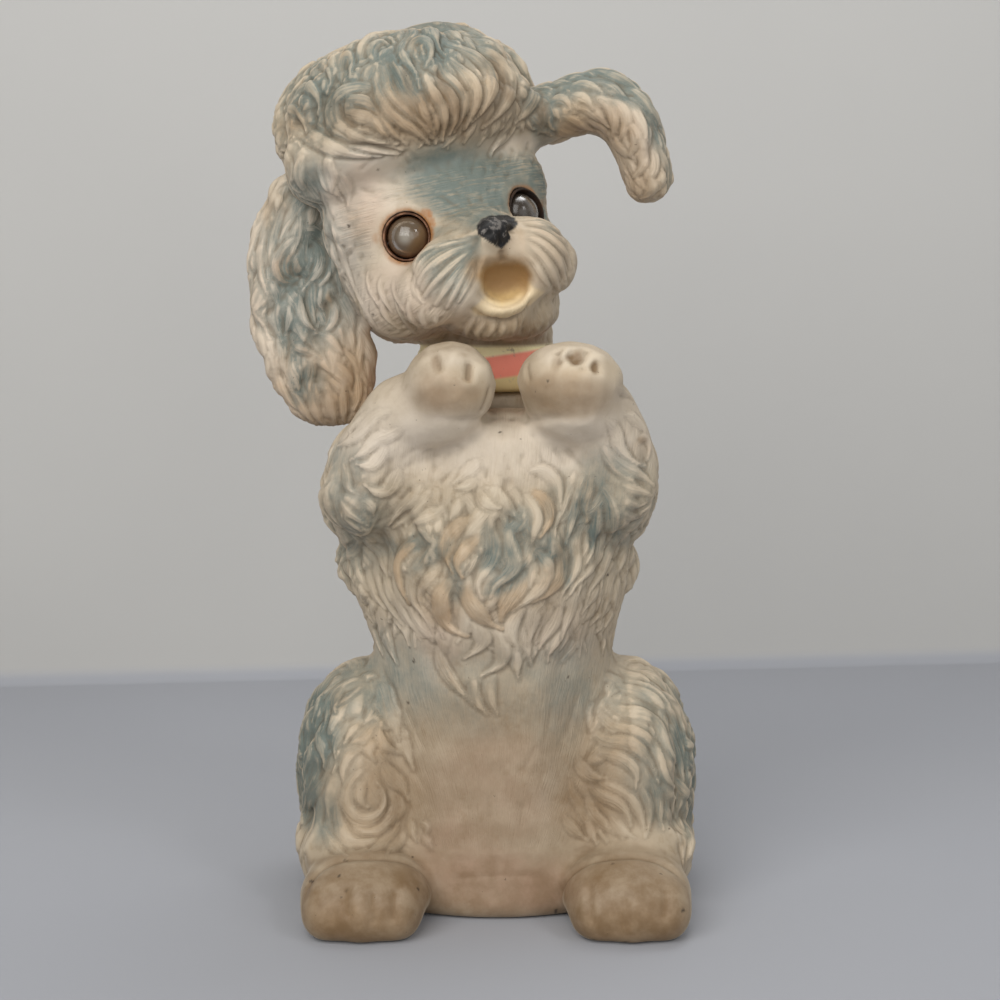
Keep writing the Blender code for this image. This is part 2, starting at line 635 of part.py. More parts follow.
def wire(name, frame, weight_centre):
    """The bent wire from inside the ball, out through its open back, and down to the weight."""
    bends = [Vector((0, -4.1, -1.85)), Vector((0, -2.85, -3.5)), Vector((0, -3.05, -5.2))]
    reach = (bends[-1] - weight_centre).normalized() * (WEIGHT_RADIUS + CLEARANCE)
    points = [*bends, weight_centre + reach]
    line = bpy.data.curves.new(name, "CURVE")
    line.dimensions = "3D"
    line.bevel_depth = WIRE_RADIUS * MM
    line.bevel_resolution = 1
    line.use_fill_caps = True
    spline = line.splines.new("POLY")
    spline.points.add(len(points) - 1)
    for point, place in zip(spline.points, points):
        point.co = (*((frame @ place) * MM), 1.0)
    piece = bpy.data.objects.new(name, line)
    bpy.context.scene.collection.objects.link(piece)
    line.materials.append(STEEL_WIRE)
    return piece


# Squeaker: an aluminium cup pushed into the base, with a reed plate inside

def squeaker():
    radius, wall, height = SQUEAKER_RADIUS, SQUEAKER_WALL, SQUEAKER_HEIGHT
    flange_low = FLANGE_SEAT - wall - 0.2
    flange_high = flange_low + wall
    turned("squeaker_cup", [
        (AIR_HOLE_RADIUS, flange_low), (SQUEAKER_FLANGE, flange_low), (SQUEAKER_FLANGE, flange_high),
        (radius, flange_high), (radius, height), (radius - wall, height), (radius - wall, flange_high),
        (AIR_HOLE_RADIUS, flange_high),
    ], SQUEAKER, ALUMINIUM)

    inside = radius - wall - CLEARANCE / 2
    plate = rod("reed_plate", inside, PLATE_LOW, PLATE_HIGH, SQUEAKER, ALUMINIUM)
    slot_half = REED_HALF_WIDTH - 0.5
    cut(plate, slab("reed_slot", (-slot_half, -6, PLATE_LOW - 1), (slot_half, 4.4, PLATE_HIGH + 1), SQUEAKER))
    rivet_frame = SQUEAKER @ Matrix.Translation(Vector((0, RIVET_Y, 0)))
    cut(plate, rod("rivet_hole", RIVET_HOLE_RADIUS, PLATE_LOW - 1, PLATE_HIGH + 1, rivet_frame, segments=16))

    low_corner, high_corner = (-REED_HALF_WIDTH, -6.6, REED_LOW), (REED_HALF_WIDTH, 8.0, REED_HIGH)
    reed = slab("reed", low_corner, high_corner, SQUEAKER, BRASS_REED)
    cut(reed, rod("reed_hole", RIVET_HOLE_RADIUS, REED_LOW - 1, REED_HIGH + 1, rivet_frame, segments=16))
    pivot("reed_pivot", SQUEAKER @ Vector(REED_BEND), reed)
    under, over = PLATE_LOW - CLEARANCE, REED_HIGH + CLEARANCE
    turned("reed_rivet", [
        (0, under - 0.3), (RIVET_HEAD_RADIUS, under - 0.3), (RIVET_HEAD_RADIUS, under), (RIVET_RADIUS, under),
        (RIVET_RADIUS, over), (RIVET_HEAD_RADIUS, over), (RIVET_HEAD_RADIUS, over + 0.5), (0, over + 0.5),
    ], rivet_frame, BRASS_REED, segments=16)

    cap_high = height - 0.6
    turned("squeaker_cap", [
        (CAP_HOLE_RADIUS, cap_high - CAP_THICKNESS), (inside, cap_high - CAP_THICKNESS), (inside, cap_high),
        (CAP_HOLE_RADIUS, cap_high),
    ], SQUEAKER, ALUMINIUM)


SQUEAKER = Matrix.Translation(Vector((0, SQUEAKER_Y, 0)))
collar_bottom = NECK_SEAT_Z + CLEARANCE
collar_top = collar_bottom + COLLAR_HEIGHT
head_floor_top = collar_bottom + HEAD_FLOOR_THICKNESS
flange_bottom = head_floor_top + CLEARANCE
flange_top = flange_bottom + FLANGE_THICKNESS

body_shell()
head_shell()
sleep_eye("right", -1)
sleep_eye("left", 1)
squeaker()
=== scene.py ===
from itertools import product
from math import cos, pi, radians, sin

import bmesh
import bpy
import numpy as np
from mathutils import Matrix, Vector
from mathutils.bvhtree import BVHTree
from mathutils.kdtree import KDTree


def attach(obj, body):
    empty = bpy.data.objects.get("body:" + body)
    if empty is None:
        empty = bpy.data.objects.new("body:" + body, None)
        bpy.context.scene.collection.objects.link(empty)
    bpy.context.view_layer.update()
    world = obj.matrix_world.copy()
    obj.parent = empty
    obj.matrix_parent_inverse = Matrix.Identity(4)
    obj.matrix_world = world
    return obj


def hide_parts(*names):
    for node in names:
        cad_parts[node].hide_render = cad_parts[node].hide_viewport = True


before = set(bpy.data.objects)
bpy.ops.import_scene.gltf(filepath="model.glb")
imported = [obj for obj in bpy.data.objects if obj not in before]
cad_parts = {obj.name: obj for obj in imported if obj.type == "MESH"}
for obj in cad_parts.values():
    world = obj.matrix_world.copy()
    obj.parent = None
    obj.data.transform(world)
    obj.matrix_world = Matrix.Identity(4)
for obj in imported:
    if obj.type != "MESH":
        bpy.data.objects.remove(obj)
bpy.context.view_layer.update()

scene = bpy.context.scene
print("frame loaded:", len(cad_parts), "nodes")


# The photograph's view. Lengths in the sculpting below are millimetres, angles degrees.

photoView = {
    "eye": (1.2, -600.0, 200.0),
    "downTilt": 6.77,
    "pixelsPerSlope": 1875.0,   # a ray at slope 1 lands this many pixels from the middle
    "lens": 67.5, "sensor": 36, "near": 0.01,
}
eyePoint = np.array(photoView["eye"])
tilt = radians(photoView["downTilt"])
lookAxis = np.array((0.0, cos(tilt), -sin(tilt)))
upAxis = np.array((0.0, sin(tilt), cos(tilt)))
sideAxis = np.array((1.0, 0.0, 0.0))


def sightLine(px, py):
    slope = photoView["pixelsPerSlope"]
    ray = lookAxis + sideAxis * (px - 500) / slope + upAxis * (500 - py) / slope
    return ray / np.linalg.norm(ray)


def seenAt(points):
    rel = points - eyePoint
    depth = rel @ lookAxis
    slope = photoView["pixelsPerSlope"]
    return 500 + slope * (rel @ sideAxis) / depth, 500 - slope * (rel @ upAxis) / depth


# Small helpers for numbers and meshes

def smooth(x, low=0.0, high=1.0):          # 0 at low, 1 at high, eased between; low may be the larger
    t = np.clip((x - low) / (high - low), 0, 1)
    return t * t * (3 - 2 * t)


def unit(v):
    return v / np.maximum(np.linalg.norm(v, axis=-1, keepdims=True), 1e-9)


def farFrom(points, place):
    return np.linalg.norm(points - np.array(place), axis=1)


def rowsOf(items, name, width, kind=float):
    flat = np.empty(len(items) * width, dtype=kind)
    items.foreach_get(name, flat)
    return flat.reshape(-1, width)


def linked(name, mesh):
    piece = bpy.data.objects.new(name, mesh)
    scene.collection.objects.link(piece)
    return piece


def meshOf(name, build):
    bm = bmesh.new()
    build(bm)
    mesh = bpy.data.meshes.new(name)
    bm.to_mesh(mesh)
    bm.free()
    return mesh


def settled(piece):
    graph = bpy.context.evaluated_depsgraph_get()
    mesh = bpy.data.meshes.new_from_object(piece.evaluated_get(graph))
    piece.modifiers.clear()
    piece.data = mesh
    return piece


def carve(piece, tool, operation="DIFFERENCE"):
    step = piece.modifiers.new("carve", "BOOLEAN")
    step.solver = "EXACT"
    step.operation = operation
    step.object = tool
    settled(piece)
    bpy.data.objects.remove(tool)
    return piece


def rod(radius, low, high, place, sides=64):
    middle = Matrix.Translation((0, 0, (low + high) / 2000))
    return linked("tool", meshOf("tool", lambda bm: bmesh.ops.create_cone(
        bm, cap_ends=True, segments=sides, radius1=radius / 1000, radius2=radius / 1000,
        depth=(high - low) / 1000, matrix=place @ middle)))


def lathed(outline, place, sides=64):
    def build(bm):
        rings = []
        for radius, height in outline:
            if radius == 0:
                rings.append([bm.verts.new((0, 0, height / 1000))] * sides)
                continue
            turns = [2 * pi * k / sides for k in range(sides)]
            rings.append([bm.verts.new((radius * cos(t) / 1000, radius * sin(t) / 1000, height / 1000))
                          for t in turns])
        for lower, upper in zip(rings, rings[1:]):
            for k in range(sides):
                corners = [lower[k - 1], lower[k], upper[k], upper[k - 1]]
                bm.faces.new(list(dict.fromkeys(corners)))
        bmesh.ops.recalc_face_normals(bm, faces=bm.faces)
        bm.transform(place)
    return linked("tool", meshOf("tool", build))


def together(*pieces):
    def build(bm):
        for piece in pieces:
            bm.from_mesh(piece.data)
    whole = linked("tool", meshOf("tool", build))
    for piece in pieces:
        bpy.data.objects.remove(piece)
    return whole


# Places that the skins share with the CAD: neck, squeaker seat and eye sockets

neckAt, squeakerAt = (-3, 4), (0, 18)
neckPlace = Matrix.Translation((neckAt[0] / 1000, neckAt[1] / 1000, 0))
squeakerPlace = Matrix.Translation((squeakerAt[0] / 1000, squeakerAt[1] / 1000, 0))
neck = {
    "post": 18.5, "postFoot": 150, "seat": 164.2, "spigot": 13.5, "flange": 16.2, "flangeBevel": 1.2,
    "flangeLow": 168.6, "flangeHigh": 172.2, "bore": 10.5, "boreTop": 180, "gap": 0.3, "socketTop": 171,
    "bodyTrim": 24, "bodyTrimSink": 1.0, "bodyTrimTop": 190,
    "collarTrim": 23.5, "collarFoot": 140, "collarLow": 164.5,
}
squeakerSeat = {"hole": 11.7, "holeTop": 7, "recess": 14.3, "recessTop": 1.4, "under": -3}
eyes = {
    "right": {"at": (-26.222, -29.346, 211.999), "axle": (0.954105, -0.114699, 0.276635),
              "out": (-0.1237, -0.9922, 0.0153), "up": (-0.2727, 0.0488, 0.9609)},
    "left": {"at": (6.464, -17.671, 219.122), "axle": (0.684899, 0.711248, 0.158241),
             "out": (0.6757, -0.7012, 0.2274), "up": (-0.2727, 0.0488, 0.9609)},
}
eyeBore = {"radius": 7.6, "low": -8.2, "high": 16}
eyePlug = {"radius": 8.0, "low": -1.8, "right": 3.7, "left": 3.0}      # "right" and "left" are the tops
bodyPlug = {"neck": (11.5, 164.2, 171.6), "base": (14.5, 0, 3)}        # radius, low and high
headPlug = {"neck": (14.8, 164.8, 168.0)}


def eyePlace(side):
    spot = eyes[side]
    place = Matrix((spot["axle"], spot["up"], spot["out"])).transposed().to_4x4()
    place.translation = Vector(spot["at"]) / 1000
    return place


def inEye(side, points):
    spot = eyes[side]
    rel = points - np.array(spot["at"])
    across, rise = rel @ np.array(spot["axle"]), rel @ np.array(spot["up"])
    return np.hypot(across, rise), rel @ np.array(spot["out"]), np.arctan2(rise, across)


headPlace = (Matrix.Translation((-17, -2, 210)) @ Matrix.Rotation(radians(20), 4, "Z")
             @ Matrix.Rotation(radians(-14), 4, "Y") @ Matrix.Rotation(radians(-8), 4, "X"))
intoHead = np.array(headPlace.inverted())


def headLocal(points):
    return points @ intoHead[:3, :3].T + intoHead[:3, 3]


def onHead(*spot):
    return np.array(headPlace @ Vector(spot))


# A skin is the closed outside of a CAD shell in fine cells, smoothed, with relief and tints per point.
# The plugs close every opening, so that the outside comes apart from the hollow.

class Skin:
    def __init__(self, node, plugs, cell, rounds):
        mesh = meshOf(node, lambda bm: (bm.from_mesh(bpy.data.objects[node].data),
                                        bmesh.ops.remove_doubles(bm, verts=bm.verts, dist=1e-7)))
        piece = linked(node + "Skin", mesh)
        for plug in plugs:
            carve(piece, plug, "UNION")
        outer, self.hollow = splitSkins(piece)
        melt = outer.modifiers.new("cells", "REMESH")
        melt.mode = "VOXEL"
        melt.voxel_size = cell / 1000
        settled(outer)
        self.piece = outer
        self.size = len(outer.data.vertices)
        start = rowsOf(outer.data.vertices, "co", 3) * 1000
        self.ends = rowsOf(outer.data.edges, "vertices", 2, np.int64)
        self.degree = np.bincount(self.ends.ravel(), minlength=self.size)[:, None]
        soft = self.relax(start, rounds)
        soft += self.relax(start - soft, rounds // 2)
        self.setPoints(soft)
        self.relief = np.zeros(self.size)
        self.tints = {}
        self.tree = BVHTree.FromPolygons([Vector(p) for p in self.points],
                                         [f.vertices[:] for f in outer.data.polygons])
        print(node, "skin:", self.size, "points")

    def relax(self, values, rounds, pull=0.5):
        a, b = self.ends[:, 0], self.ends[:, 1]
        values = values.reshape(self.size, -1)
        for _ in range(rounds):
            total = np.stack([np.bincount(a, column[b], self.size) + np.bincount(b, column[a], self.size)
                              for column in values.T], 1)
            values = values + pull * (total / self.degree - values)
        return values

    def setPoints(self, points):
        self.points = points
        self.piece.data.vertices.foreach_set("co", (points / 1000).ravel())
        self.piece.data.update()
        self.normals = rowsOf(self.piece.data.vertex_normals, "vector", 3)
        self.px, self.py = seenAt(points)
        self.facing = (unit(eyePoint - points) * self.normals).sum(1)

    def soften(self, mask, rounds):
        share = mask[:, None]
        self.setPoints(self.points * (1 - share) + self.relax(self.points, rounds) * share)

    def tint(self, name):
        return self.tints.setdefault(name, np.zeros(self.size))

    def nearest(self, point):
        place, normal, _, _ = self.tree.find_nearest(Vector(point))
        return np.array(place), np.array(normal)

    def seenPoint(self, px, py):
        place, normal, _, _ = self.tree.ray_cast(Vector(eyePoint), Vector(sightLine(px, py)))
        return (None, None) if place is None else (np.array(place), np.array(normal))


def splitSkins(piece):                  # the outside is the part that reaches farthest, the rest is the hollow
    bm = bmesh.new()
    bm.from_mesh(piece.data)
    bmesh.ops.remove_doubles(bm, verts=bm.verts, dist=1e-6)
    groups, seen = [], set()
    for face in bm.faces:
        if face in seen:
            continue
        seen.add(face)
        group, waiting = [], [face]
        while waiting:
            one = waiting.pop()
            group.append(one)
            for edge in one.edges:
                for other in edge.link_faces:
                    if other not in seen:
                        seen.add(other)
                        waiting.append(other)
        groups.append(group)
    groups.sort(key=lambda g: -max(v.co.x for f in g for v in f.verts))
    bm.faces.index_update()
    shells = []
    for chosen in (groups[0], [f for g in groups[1:] for f in g]):
        part = bm.copy()
        keep = {f.index for f in chosen}
        bmesh.ops.delete(part, geom=[f for f in part.faces if f.index not in keep], context="FACES")
        mesh = bpy.data.meshes.new("shell")
        part.to_mesh(mesh)
        part.free()
        shells.append(linked("shell", mesh))
    bm.free()
    bpy.data.objects.remove(piece)
    return shells


# Hair locks. A lock is a domed ridge along a line, sunk at its root, raised at its tip, with a crease round it.

def alongLine(points, line):
    a, step = line[:-1], np.diff(line, axis=0)
    square = np.maximum((step ** 2).sum(1), 1e-9)
    share = np.clip(((points[:, None] - a) * step).sum(2) / square, 0, 1)
    foot = a + share[..., None] * step
    gap = np.linalg.norm(points[:, None] - foot, axis=2)
    which = gap.argmin(1)
    row = np.arange(len(points))
    lengths = np.sqrt(square)
    before = np.concatenate([[0], np.cumsum(lengths)])
    at = (before[which] + share[row, which] * lengths[which]) / before[-1]
    return gap[row, which], at, which, points - foot[row, which]


def spaced(line, normals, step=1.2):
    lengths = np.concatenate([[0], np.cumsum(np.linalg.norm(np.diff(line, axis=0), axis=1))])
    count = max(3, int(lengths[-1] / step) + 1)
    at = np.linspace(0, lengths[-1], count)
    points = np.stack([np.interp(at, lengths, line[:, k]) for k in range(3)], 1)
    facing = unit(np.stack([np.interp(at, lengths, normals[:, k]) for k in range(3)], 1))
    for _ in range(3):
        points[1:-1] = points[1:-1] * 0.5 + (points[:-2] + points[2:]) * 0.25
    return points, facing


def reached(skin, line, normals, reach):        # the skin's points near a line that face the way it does
    low, high = line.min(0) - reach, line.max(0) + reach
    box = np.flatnonzero(((skin.points > low) & (skin.points < high)).all(1))
    gap, at, which, off = alongLine(skin.points[box], line)
    fits = (gap < reach) & ((skin.normals[box] * normals[which]).sum(1) > 0.15)
    return [values[fits] for values in (box, gap, at, which, off)]


lockShape = {                           # what a lock has when its look says nothing else
    "root": 0.35, "tip": 0.12, "flat": 2.4, "sunk": 0.35, "lean": 0.35, "crease": 0.45, "strands": 2,
    "strandDeep": 0.25, "wide": 1.0, "tall": 1.0,
}


def layLock(skin, line, normals, half, rise, look, tints=()):
    look = {**lockShape, **look}
    line, normals = spaced(line, normals)
    box, _, at, which, off = reached(skin, line, normals, half * 1.6 + 0.8)
    out = normals[which]
    ahead = unit(np.diff(line, axis=0))[which]
    side = np.sign((off * np.cross(out, ahead)).sum(1))
    flatGap = np.linalg.norm(off - out * (off * out).sum(1, keepdims=True), axis=1)
    grow = look["root"] + (1 - look["root"]) * smooth(at, 0, 0.4)
    shrink = 1 - (1 - look["tip"]) * smooth(at, 0.5, 1.0) ** 1.2
    width = np.maximum(half * grow * shrink, 0.5)
    across = flatGap / width
    cover = smooth(flatGap, width + 0.5, width * 0.85) * smooth(at, -0.02, 0.2)
    dome = np.maximum(1 - across ** look["flat"], 0) ** 0.7
    lift = rise * (look["sunk"] + (1 - look["sunk"]) * smooth(at, 0, 0.7))
    height = lift * dome * (1 + look["lean"] * side * across)
    fine = np.maximum(0.13 * width, 0.42)
    for k in range(look["strands"]):
        lane = -1 + 2 * (k + 1) / (look["strands"] + 1)
        height -= (look["strandDeep"] * rise * np.exp(-((side * flatGap - lane * width) / fine) ** 2)
                   * smooth(width, 0.9, 1.8) * np.sin(pi * np.clip(at, 0, 1)) ** 0.6)
    ditch = np.maximum(0.22 * width, 0.6)
    trough = look["crease"] * rise * np.exp(-((flatGap - 1.1 * width) / ditch) ** 2) * smooth(at, 0.05, 0.3)
    skin.relief[box] = skin.relief[box] * (1 - cover) + height * cover - trough * (1 - 0.6 * cover)
    chosen = cover > 0.5
    length = np.linalg.norm(np.diff(line, axis=0), axis=1).sum()
    skin.tint("lane")[box[chosen]] = (side * flatGap)[chosen] + 9 * sin(line[0].sum())
    skin.tint("along")[box[chosen]] = at[chosen] * length
    fur = skin.tint("fur")
    fur[box] = np.maximum(fur[box], cover)
    for name, amount in tints:
        tint = skin.tint(name)
        tint[box] = np.maximum(tint[box] * (1 - 0.5 * cover), cover * amount)


def cutGroove(skin, line, normals, half, deep, taper=0.2, tints=()):
    line, normals = spaced(line, normals, 1.0)
    box, gap, at, _, _ = reached(skin, line, normals, half * 2.4)
    skin.relief[box] -= deep * np.exp(-(gap / half) ** 2) * smooth(at, 0, taper) * smooth(1 - at, 0, taper)
    for name, amount in tints:
        tint = skin.tint(name)
        stain = amount * np.exp(-(gap / half / 1.2) ** 2) * smooth(at, 0, 0.1) * smooth(1 - at, 0, 0.5)
        tint[box] = np.maximum(tint[box], stain)


def photoLine(skin, marks):
    found = [skin.seenPoint(px, py) for px, py in curved(marks)]
    found = [(p, n) for p, n in found if p is not None]
    if len(found) < 2:
        return None, None
    points, normals = (np.array(v) for v in zip(*found))
    steady = [0]
    for k in range(1, len(points)):        # a ray that slips past an edge lands far behind: drop it
        if np.linalg.norm(points[k] - points[steady[-1]]) < 9:
            steady.append(k)
    if len(steady) < 2:
        return None, None
    return points[steady], normals[steady]


def curved(marks, parts=5):
    marks = np.array(marks, dtype=float)
    if len(marks) < 3:
        return [tuple(marks[0] + (marks[-1] - marks[0]) * k / parts) for k in range(parts + 1)]
    padded = np.vstack([2 * marks[0] - marks[1], marks, 2 * marks[-1] - marks[-2]])
    out = []
    for k in range(1, len(padded) - 2):
        a, b, c, d = padded[k - 1:k + 3]
        for s in range(parts):
            t = s / parts
            out.append(tuple(0.5 * (2 * b + (c - a) * t + (2 * a - 5 * b + 4 * c - d) * t ** 2
                                    + (3 * b - a - 3 * c + d) * t ** 3)))
    return out + [tuple(marks[-1])]


def cutPhotoGroove(skin, marks, *shape):
    points, normals = photoLine(skin, marks)
    if points is not None:
        cutGroove(skin, points, normals, *shape)


def layPhotoLocks(skin, locks, look, tinted={}):
    look = {**lockShape, **look}
    for name, (half, rise, marks) in locks.items():
        points, normals = photoLine(skin, marks)
        if points is None:
            print("lock off the skin:", name)
            continue
        scale = np.linalg.norm(points.mean(0) - eyePoint) / photoView["pixelsPerSlope"]
        half, rise = half * scale * look["wide"], rise * look["tall"]
        layLock(skin, points, normals, half, rise, look, tinted.get(name, ()))


def calmRelief(skin, label):
    skin.relief = skin.relax(skin.relief, 1, 0.35)[:, 0]
    print(label, "relief:", round(skin.relief.min(), 2), "to", round(skin.relief.max(), 2), "mm")


# Flowing locks for the sides that the photograph doesn't show

def scattered(skin, mask, apart, seed):         # some points of the skin, no two nearer than apart
    rng = np.random.default_rng(seed)
    around = list(product((-1, 0, 1), repeat=3))
    grid, kept = {}, []
    for index in rng.permutation(np.flatnonzero(mask > 0.5)):
        p = skin.points[index]
        i, j, k = (int(c) for c in np.floor(p / apart))
        near = (q for di, dj, dk in around for q in grid.get((i + di, j + dj, k + dk), ()))
        if all(((q - p) ** 2).sum() >= apart ** 2 for q in near):
            grid.setdefault((i, j, k), []).append(p)
            kept.append(index)
    return kept


flowStep = {"stride": 1.6, "wave": 0.16, "waveAcross": 0.05, "waveUp": 0.07, "still": 0.05}


def flowLine(skin, start, normal, length, towards, sway, phase):
    points, normals = [start], [normal]
    stride = flowStep["stride"]
    for k in range(int(length / stride)):
        here, out = points[-1], normals[-1]
        along = towards(here)
        along = along - out * (along @ out)
        if np.linalg.norm(along) < flowStep["still"]:
            break
        along = unit(along)
        turn = sway * sin(phase + k * stride * flowStep["wave"] + flowStep["waveAcross"] * here[0]
                          + flowStep["waveUp"] * here[2])
        along = along * cos(turn) + np.cross(out, along) * sin(turn)
        there, out = skin.nearest(here + along * stride)
        points.append(there)
        normals.append(out)
    return np.array(points), np.array(normals)


def flowLocks(skin, mask, towards, values, order, seed):
    rng = np.random.default_rng(seed)
    seeds = scattered(skin, mask, values["apart"], seed)
    seeds.sort(key=lambda k: order(skin.points[k]))
    for index in seeds:
        length = values["long"] * rng.uniform(0.75, 1.25)
        points, normals = flowLine(skin, skin.points[index], skin.normals[index], length, towards,
                                   values["sway"] * rng.uniform(0.5, 1.2), rng.uniform(0, 2 * pi))
        if len(points) < 4:
            continue
        half = values["half"] * rng.uniform(0.8, 1.2)
        look = dict(values, lean=rng.uniform(-0.35, 0.35))
        layLock(skin, points, normals, half, values["rise"] * rng.uniform(0.8, 1.15), look)
    print("flow locks:", len(seeds))


def furStrokes(skin, mask, towards, values, seed):
    rng = np.random.default_rng(seed)
    seeds = scattered(skin, mask, values["apart"], seed)
    for index in seeds:
        length = values["long"] * rng.uniform(0.6, 1.3)
        points, normals = flowLine(skin, skin.points[index], skin.normals[index], length, towards,
                                   values["sway"], rng.uniform(0, 2 * pi))
        if len(points) > 2:
            cutGroove(skin, points, normals, values["half"] * rng.uniform(0.8, 1.3),
                      values["deep"] * rng.uniform(0.5, 1.3) * mask[index], 0.35)
    print("fur strokes:", len(seeds))


def downwards(point):
    return np.array((0.0, 0.0, -1.0))


def lowestFirst(point):                 # the locks are laid from below, so that each overlaps the one under it
    return point[2]


def fromNeck(x, y):
    return np.hypot(x - neckAt[0], y - neckAt[1])


# Hair locks marked on the photograph: half width in pixels, rise in millimetres, and the line from root to tip

topknotLocks = {
    "edgeRightA": (6, 0.9, [(501, 41), (525, 54), (536, 70), (536, 89), (529, 108), (514, 123)]),
    "edgeRightB": (6, 0.9, [(483, 34), (507, 46), (523, 67), (527, 89), (518, 109), (499, 126)]),
    "sweepRightA": (7, 1, [(466, 43), (492, 54), (509, 72), (510, 94), (499, 113), (483, 128)]),
    "sweepRightB": (8, 1.2, [(448, 43), (473, 54), (488, 69), (492, 87), (484, 106), (470, 124)]),
    "fallA": (6, 1, [(442, 52), (457, 65), (472, 80), (477, 96), (473, 113), (464, 130)]),
    "fallB": (6, 1.1, [(435, 56), (446, 76), (459, 91), (464, 106), (460, 120), (453, 133)]),
    "fallC": (6, 1.1, [(429, 72), (444, 87), (453, 102), (455, 119), (449, 135)]),
    "fallD": (5.5, 1.1, [(424, 76), (435, 93), (442, 108), (444, 124), (442, 141)]),
    "fallE": (5.5, 1.1, [(420, 93), (427, 109), (435, 126), (435, 144)]),
    "waveA": (7, 1, [(311, 119), (324, 133), (338, 143), (357, 148), (379, 152), (400, 154)]),
    "waveB": (7, 1, [(288, 126), (305, 133), (322, 143), (340, 151), (361, 156), (381, 156)]),
    "waveC": (7, 1, [(285, 141), (298, 156), (311, 157), (324, 150), (338, 152), (355, 157)]),
    "waveD": (6, 0.9, [(283, 148), (290, 163), (303, 170), (318, 163), (333, 161), (350, 161)]),
    "swirlLow": (6, 1, [(338, 126), (350, 133), (366, 135), (385, 143), (403, 150)]),
    "swirlOuter": (8, 1.3, [(385, 93), (370, 86), (351, 88), (337, 96), (332, 113), (338, 128), (355, 137),
                            (377, 141), (398, 144)]),
    "swirlMiddle": (7, 1, [(340, 98), (355, 98), (372, 104), (381, 119), (392, 133), (407, 144)]),
    "swirlInner": (6, 0.9, [(342, 111), (355, 115), (370, 119), (381, 130), (392, 141)]),
    "swooshC": (8, 1.3, [(374, 65), (379, 83), (386, 102), (400, 119), (418, 133), (429, 144)]),
    "swooshB": (8, 1.2, [(381, 59), (388, 78), (396, 94), (409, 109), (424, 124), (433, 139)]),
    "swooshA": (8, 1.2, [(388, 58), (400, 74), (407, 89), (418, 104), (427, 119), (435, 135)]),
    "sideA": (5, 0.9, [(288, 108), (298, 113), (305, 124), (307, 133)]),
    "sideB": (6, 1, [(294, 102), (298, 91), (307, 86), (316, 93), (320, 106), (318, 115)]),
    "sideC": (6, 1, [(316, 80), (315, 69), (323, 64), (329, 70), (331, 83), (326, 94)]),
    "bigCurlOuter": (7, 1.2, [(335, 72), (334, 58), (342, 46), (351, 45), (358, 56), (359, 72), (355, 89)]),
    "bigCurlInner": (4.5, 0.8, [(343, 76), (342, 61), (348, 52), (351, 63), (350, 78)]),
    "crestCurlA": (6, 1, [(361, 67), (362, 50), (372, 37), (385, 30), (396, 32)]),
    "crestCurlB": (5, 0.9, [(374, 65), (372, 50), (381, 41), (388, 45)]),
    "crestA": (7, 0.9, [(390, 26), (400, 32), (407, 41), (403, 52), (400, 63)]),
    "crestC": (7, 0.9, [(427, 23), (433, 35), (436, 46), (446, 56)]),
    "crestD": (7, 0.9, [(446, 26), (453, 35), (464, 43)]),
    "crestB": (6, 1, [(411, 26), (411, 37), (403, 50), (407, 63), (416, 74), (420, 89)]),
    "bud": (5, 0.9, [(411, 59), (410, 45), (420, 38), (429, 43), (431, 56), (425, 67)]),
}

